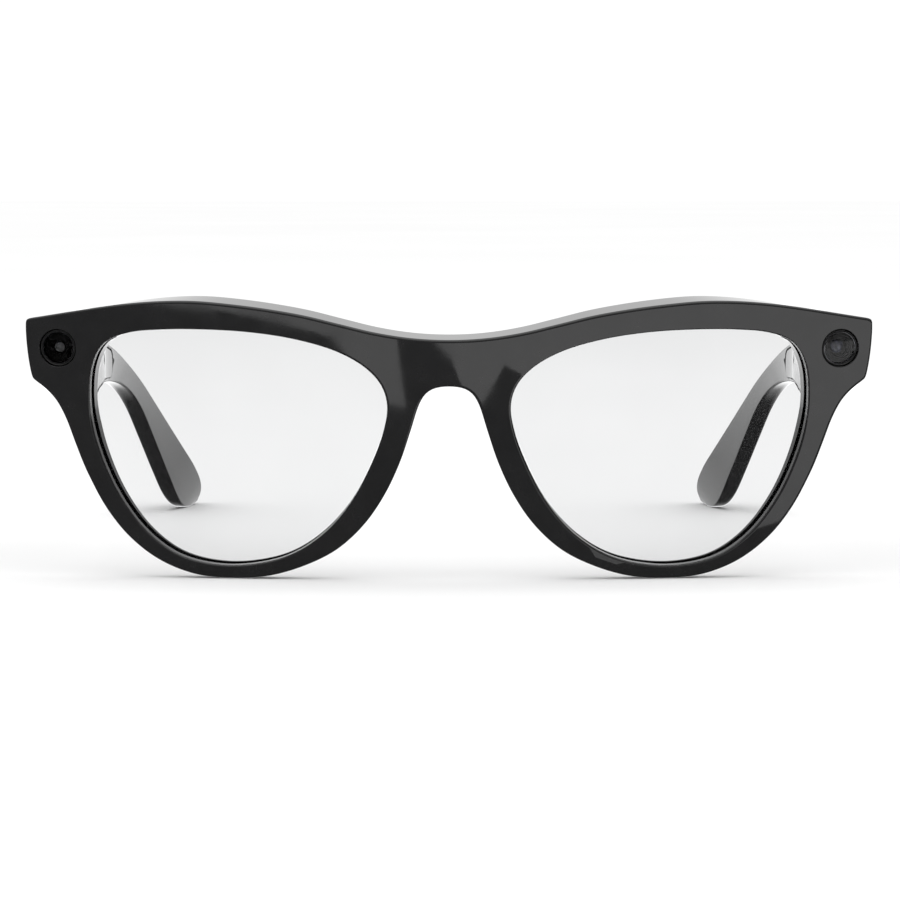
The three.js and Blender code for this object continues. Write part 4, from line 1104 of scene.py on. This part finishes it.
# ------------------------------------------------------------------ hinges
HINGE_X = 63.2
HINGE_LOW = 31.6
HINGE_HIGH = 42.4
KNUCKLES = 5
PITCH = (HINGE_HIGH - HINGE_LOW) / KNUCKLES
KNUCKLE_RADIUS = 1.5
KNUCKLE_EDGE = 0.16
PLATE_FACE = 63.95
PLATE_BACK = 65.0
LEAF_CLEAR = 0.5
FRONT_LEAF_START = 10.6
TEMPLE_LEAF_END = 25.5
FRONT_SCREW_Y = 12.3
TEMPLE_SCREW_Y = 22.5
SCREW_Z = {"lower": 34.0, "upper": 40.0}
SCREW_X = PLATE_FACE - 0.12
SCREW_PROFILE = [
    (0, 0.0), (0.5, 0.01), (0.78, 0.06), (0.92, 0.16), (0.95, 0.26), (0.95, 0.4), (0.5, 0.6), (0.5, 2.4),
    (0, 2.4),
]
UPRIGHT = Matrix(((1, 0, 0, 0), (0, 0, -1, 0), (0, 1, 0, 0), (0, 0, 0, 1)))
SIDEWAYS = Matrix(((0, 1, 0, 0), (1, 0, 0, 0), (0, 0, 1, 0), (0, 0, 0, 1)))
FACING_OUT = Matrix(((0, 0, 1, 0), (1, 0, 0, 0), (0, 1, 0, 0), (0, 0, 0, 1)))


def outward_place(sign, x=0.0, y=0.0, z=0.0):
    """Maps (backwards, up, away from the middle), measured from a point, to the row frame."""
    return flat_place(on_side(sign, Matrix.Translation((x, y + ORIGIN_Y, z)) @ FACING_OUT))


def screw_head(name, sign, y, z):
    """A small raised-head screw with a straight slot, its axis along X."""
    place = on_side(sign, Matrix.Translation((SCREW_X, y + ORIGIN_Y, z)) @ SIDEWAYS)
    slot = pocket("slot", centred((0.12, 1.2), 0, 0.02), -0.5, 0.24, outward_place(sign, SCREW_X, y, z), 0.01)
    return carve(lathe(name, SCREW_PROFILE, place, 48, 30), [slot])


def hinge_leaf(sign, kind, body, near, far, first, screw_y):
    """A stamped plate with countersunk screw seats, and the barrels rolled from its edge."""
    side = NAMES[sign]
    loop = rectangle(near, far, HINGE_LOW, HINGE_HIGH, 0.7)
    seats = [(circle((screw_y, z), 1.02, 1.02, 40), 0.45, 0.08, 0.0) for z in SCREW_Z.values()]
    plate = slab(f"hinge_{kind}_plate_{side}", [Contour(loop, 1, 0.15, 0.05)],
                 level(PLATE_FACE), level(PLATE_BACK), 0, seats, place=outward_place(sign))
    seated(plate, body, "steel", STEEL, f"hinge_{kind}_leaf_{side}")
    axis = Matrix.Translation((sign * HINGE_X, JOINT_Y + ORIGIN_Y, 0)) @ UPRIGHT
    r, soft = KNUCKLE_RADIUS, KNUCKLE_EDGE
    for i in range(first, KNUCKLES, 2):
        low, high = HINGE_LOW + i * PITCH + GAP / 2, HINGE_LOW + (i + 1) * PITCH - GAP / 2
        profile = [
            (0, low), (r - soft, low), (r - 0.05, low + 0.05), (r, low + soft),
            (r, high - soft), (r - 0.05, high - 0.05), (r - soft, high), (0, high),
        ]
        barrel = lathe(f"hinge_{kind}_barrel_{i}_{side}", profile, axis, 64, 30)
        seated(barrel, body, "steel", TURNED)
    for height, z in SCREW_Z.items():
        screw = screw_head(f"{kind}_screw_{height}_{side}", sign, screw_y, z)
        seated(screw, body, "steel", TURNED, f"{kind}_leaf_screw_{height}_{side}")


def hinge_pin(sign):
    low, top = HINGE_LOW, HINGE_HIGH
    profile = [
        (0, low - 0.3), (0.6, low - 0.3), (0.7, low - 0.2), (0.7, top + 0.05), (1.15, top + 0.05),
        (1.2, top + 0.12), (1.2, top + 0.55), (1.12, top + 0.7), (0.8, top + 0.78), (0, top + 0.8),
    ]
    axis = Matrix.Translation((sign * HINGE_X, JOINT_Y + ORIGIN_Y, 0))
    pin = lathe(f"hinge_screw_{NAMES[sign]}", profile, axis @ UPRIGHT, 64, 30)
    carve(pin, [pocket("slot", centred((1.5, 0.18), 0, 0.02), top + 0.45, top + 2, flat_place(axis), 0.01)])
    return seated(pin, "front", "steel", TURNED, f"hinge_pin_{NAMES[sign]}")


def hinge(sign):
    near, far = JOINT_Y - LEAF_CLEAR, JOINT_Y + LEAF_CLEAR
    hinge_leaf(sign, "front", "front", FRONT_LEAF_START, near, 0, FRONT_SCREW_Y)
    hinge_leaf(sign, "temple", f"{NAMES[sign]}_temple", far, TEMPLE_LEAF_END, 1, TEMPLE_SCREW_Y)
    hinge_pin(sign)


# ------------------------------------------------------------------ what a temple carries
GRILLE_HOLE = 0.15
GRILLE_PITCH = 0.5
RIDGE_PITCH = 0.62
RIDGE_HEIGHT = 0.14


def temple_cover(sign):
    loop = cover_loop(COVER_INSET + GAP, COVER_FRONT + GAP, COVER_BACK - GAP, 2.1)
    contours = [Contour(loop, 1, 0.14, 0.05)]
    if sign > 0:
        a, b = SWITCH_HALF[0] + 0.2, SWITCH_HALF[1] + 0.15
        travel = rectangle(SWITCH_Y - a, SWITCH_Y + a + SWITCH_TRAVEL, SWITCH_Z - b, SWITCH_Z + b, 0.45)
        contours.append(Contour(travel, -1, 0.1, 0.05))
    plate = slab(f"temple_{NAMES[sign]}_inner_cover", contours,
                 level(0.02), level(COVER_THICKNESS - GAP), 2.0, place=side_place(sign))
    return seated(plate, f"{NAMES[sign]}_temple", "gloss_black", GLOSS, f"temple_cover_{NAMES[sign]}")


def speaker_mesh(sign):
    columns = np.arange(-0.75, 0.76, GRILLE_PITCH)
    rows = np.arange(-4.25, 4.26, GRILLE_PITCH)
    holes = [(circle((a, b), GRILLE_HOLE, GRILLE_HOLE, 10), 0.2, 0.02, 0.0) for a in columns for b in rows]
    plate = slab(f"speaker_grille_{NAMES[sign]}", [Contour(centred(PORT_HALF, 0, 1.05), 1, 0.06, 0.06)],
                 level(-0.1), level(0.3), 0, holes, place=flat_place(on_side(sign, PORT_PLACE)))
    return seated(plate, f"{NAMES[sign]}_temple", "steel", satin_black(f"grille_{NAMES[sign]}", 0.03, 0.35),
                  f"speaker_mesh_{NAMES[sign]}")


def capture_button():
    def crown(a, b):
        across, along = np.asarray(a) / BUTTON_HALF[0], np.asarray(b) / BUTTON_HALF[1]
        return 0.45 - 0.1 * across ** 2 - 0.12 * along ** 4

    cap = slab("capture_button_cap", [Contour(centred(BUTTON_HALF, 0, 1.25, 10), 1, 0.05, 0.28)],
               level(BUTTON_LOW), crown, 0.4, place=flat_place(on_side(-1, BUTTON_PLACE)))
    return seated(cap, "capture_button", "satin_black", SATIN, "capture_button")


def power_switch():
    def ridge(a, b):
        """Three grip grooves across the thumb ridge."""
        wave = np.cos(2 * math.pi * (np.asarray(a) - SWITCH_Y) / RIDGE_PITCH)
        return INNER_X - 0.55 + RIDGE_HEIGHT * np.clip(wave, -0.2, 1)

    a, b = SWITCH_HALF
    loop = rectangle(SWITCH_Y - a, SWITCH_Y + a, SWITCH_Z - b, SWITCH_Z + b, 0.35)
    thumb = slab("power_switch_thumb", [Contour(loop, 1, 0.12, 0.05)], ridge, level(INNER_X + 1.3), 0.1,
                 place=outward_place(1))
    return seated(thumb, "power_switch", "satin_black", SATIN, "power_switch")


INNER_FINISH = {
    "circuit_board": BOARD, "flex_circuit": FLEX, "battery_foil": FOIL, "steel": STEEL, "satin_black": SATIN,
    "gloss_black": GLOSS, "gold_contact": GOLD,
}
INNER_EDGE = 0.08


def finish_inner_nodes():
    """The pieces that the shells hide keep their solids, with softened edges and a finish of their own."""
    slots = {part["node"]: part["material_slot"] for part in frame["record"]["subparts"]}
    for name, obj in frame["nodes"].items():
        if obj.hide_render:
            continue
        obj.data.materials.clear()
        obj.data.materials.append(INNER_FINISH[slots[name]])
        soften = obj.modifiers.new("edges", "BEVEL")
        soften.width = INNER_EDGE * MM
        soften.segments = 2
        soften.limit_method = "ANGLE"
        soften.angle_limit = math.radians(40)


# ------------------------------------------------------------------ studio
# Two bounce cards lie in front of the glasses, in millimetres on the floor. Only reflections see them.
LEFT_CARD = [
    (-126, -245), (-124, -231.5), (-91, -231), (-69, -227), (-43, -217), (-19, -173), (-13, -171),
    (-16, -194), (-19, -216), (-20, -245),
]
RIGHT_CARD = [
    (-10, -245), (-5, -215), (1, -203), (4, -186), (10, -173), (19, -199), (24, -193), (27, -84),
    (30, -80), (48, -87), (73, -97), (110, -112), (420, -112), (420, -245),
]
LEFT_STRENGTH = 0.36
RIGHT_STRENGTH = 0.42
CARD_HEIGHT = 0.4
KEY_PLACE = (0.0, -0.1, 1.1)
KEY_SIZE = (1.4, 1.0)
KEY_POWER = 3.2
WORLD_STRENGTH = 1.09
DIM_ROOM = 0.03
BACKDROP = (0.66, 0.985)  # from its edge to where it is full, as cosines of the angle off straight back
MIDDLE = (0.86, 0.94)  # where the backdrop brightens again, below the horizon only
MIDDLE_GAIN = 2.0
HORIZON = (-0.02, 0.0)  # sines of the height above the horizon, as in the next two
UPPER = (0.1, 0.28)
UPPER_GAIN = 1.2
CEILING = (0.35, 0.9)


def floor():
    bpy.ops.mesh.primitive_plane_add(size=12, location=(0, 0, 0))
    ground = bpy.context.object
    ground.name = "studio_floor"
    matt = finish("studio_floor", [(0.9, 0.9, 0.9), (0.915, 0.915, 0.915)], (2.5, 3),
                  (0.75, 0.85), (40, 3), [], Specular_IOR_Level=0.0)
    ground.data.materials.append(matt.material)
    ground.visible_glossy = False


def key_light():
    data = bpy.data.lights.new("key", "AREA")
    data.shape = "RECTANGLE"
    data.size, data.size_y = KEY_SIZE
    data.energy = KEY_POWER
    lamp = bpy.data.objects.new("key", data)
    bpy.context.scene.collection.objects.link(lamp)
    lamp.location = KEY_PLACE
    lamp.rotation_euler = (-Vector(KEY_PLACE)).to_track_quat("-Z", "Y").to_euler()


def bounce_card(name, corners, strength):
    mesh = bpy.data.meshes.new(name)
    points = [(x * MM, y * MM, CARD_HEIGHT * MM) for x, y in corners]
    mesh.from_pydata(points, [], [tuple(range(len(corners)))])
    obj = bpy.data.objects.new(name, mesh)
    bpy.context.scene.collection.objects.link(obj)
    n = Nodes(name, Specular_IOR_Level=0.0, Emission_Strength=strength)
    n.link(n.ramp(n.noise(5, 2), (0.8,) * 3, (0.82,) * 3), n.shader.inputs["Base Color"])
    n.link(n.ramp(n.noise(8, 2), (0.97,) * 3, (1.0,) * 3), n.shader.inputs["Emission Color"])
    mesh.materials.append(n.material)
    for kind in ("camera", "diffuse", "shadow", "transmission", "volume_scatter"):
        setattr(obj, f"visible_{kind}", False)


def room(tree):
    """White all round for sight and for soft light. Reflections see a dim room, lit behind and above."""
    def combined(operation, a, b):
        node = tree.nodes.new("ShaderNodeMath")
        node.operation = operation
        for socket, source in zip(node.inputs, (a, b)):
            if isinstance(source, float):
                socket.default_value = source
            else:
                tree.links.new(source, socket)
        return node.outputs["Value"]

    parts = tree.nodes.new("ShaderNodeSeparateXYZ")
    tree.links.new(tree.nodes.new("ShaderNodeTexCoord").outputs["Generated"], parts.inputs["Vector"])
    back, height = parts.outputs["Y"], parts.outputs["Z"]
    backdrop = map_range(tree, back, *BACKDROP, DIM_ROOM, 1.0)
    below = map_range(tree, height, *HORIZON, MIDDLE_GAIN, 1.0)
    middle = combined("MINIMUM", map_range(tree, back, *MIDDLE, 1.0, MIDDLE_GAIN), below)
    upper = map_range(tree, height, *UPPER, 1.0, UPPER_GAIN)
    ceiling = map_range(tree, height, *CEILING, 0.0, 1.0)
    lit = combined("MULTIPLY", backdrop, combined("MULTIPLY", middle, upper))
    mirrored_room = combined("SUBTRACT", 1.0, combined("MAXIMUM", lit, ceiling))
    is_glossy = tree.nodes.new("ShaderNodeLightPath").outputs["Is Glossy Ray"]
    strength = combined("SUBTRACT", WORLD_STRENGTH, combined("MULTIPLY", is_glossy, mirrored_room))
    background = tree.nodes["Background"]
    background.inputs["Color"].default_value = (1, 1, 1, 1)
    tree.links.new(strength, background.inputs["Strength"])


def studio():
    scene = bpy.context.scene
    scene.view_settings.view_transform = "Standard"
    world = bpy.data.worlds.new("studio")
    world.use_nodes = True
    scene.world = world
    world.cycles.sampling_method = "NONE"
    room(world.node_tree)
    floor()
    bounce_card("bounce_card_left", LEFT_CARD, LEFT_STRENGTH)
    bounce_card("bounce_card_right", RIGHT_CARD, RIGHT_STRENGTH)
    key_light()


FOCAL_LENGTH = 163.24
SHIFT_X = 0.0011
EYE_PLACE = (0, -0.7661, 0.0717)
LOOK_DOWN = math.radians(4.1)


def camera():
    data = bpy.data.cameras.new("camera")
    data.sensor_width = 36
    data.lens = FOCAL_LENGTH
    data.shift_x = SHIFT_X
    data.clip_start = 0.01
    eye = bpy.data.objects.new("camera", data)
    bpy.context.scene.collection.objects.link(eye)
    eye.location = EYE_PLACE
    eye.rotation_euler = (math.pi / 2 - LOOK_DOWN, 0, 0)
    bpy.context.scene.camera = eye


# ------------------------------------------------------------------ assembly
front()
brow_cover()
optics()
capture_button()
power_switch()
for side_sign, side_name in NAMES.items():
    lens(side_sign)
    contact(side_sign)
    seated(temple(side_sign), f"{side_name}_temple", "gloss_black", GLOSS, f"temple_shell_{side_name}")
    seated(endpiece(side_sign), "front", "gloss_black", GLOSS, f"endpiece_cover_{side_name}")
    hinge(side_sign)
    temple_cover(side_sign)
    speaker_mesh(side_sign)
finish_inner_nodes()
camera()
studio()
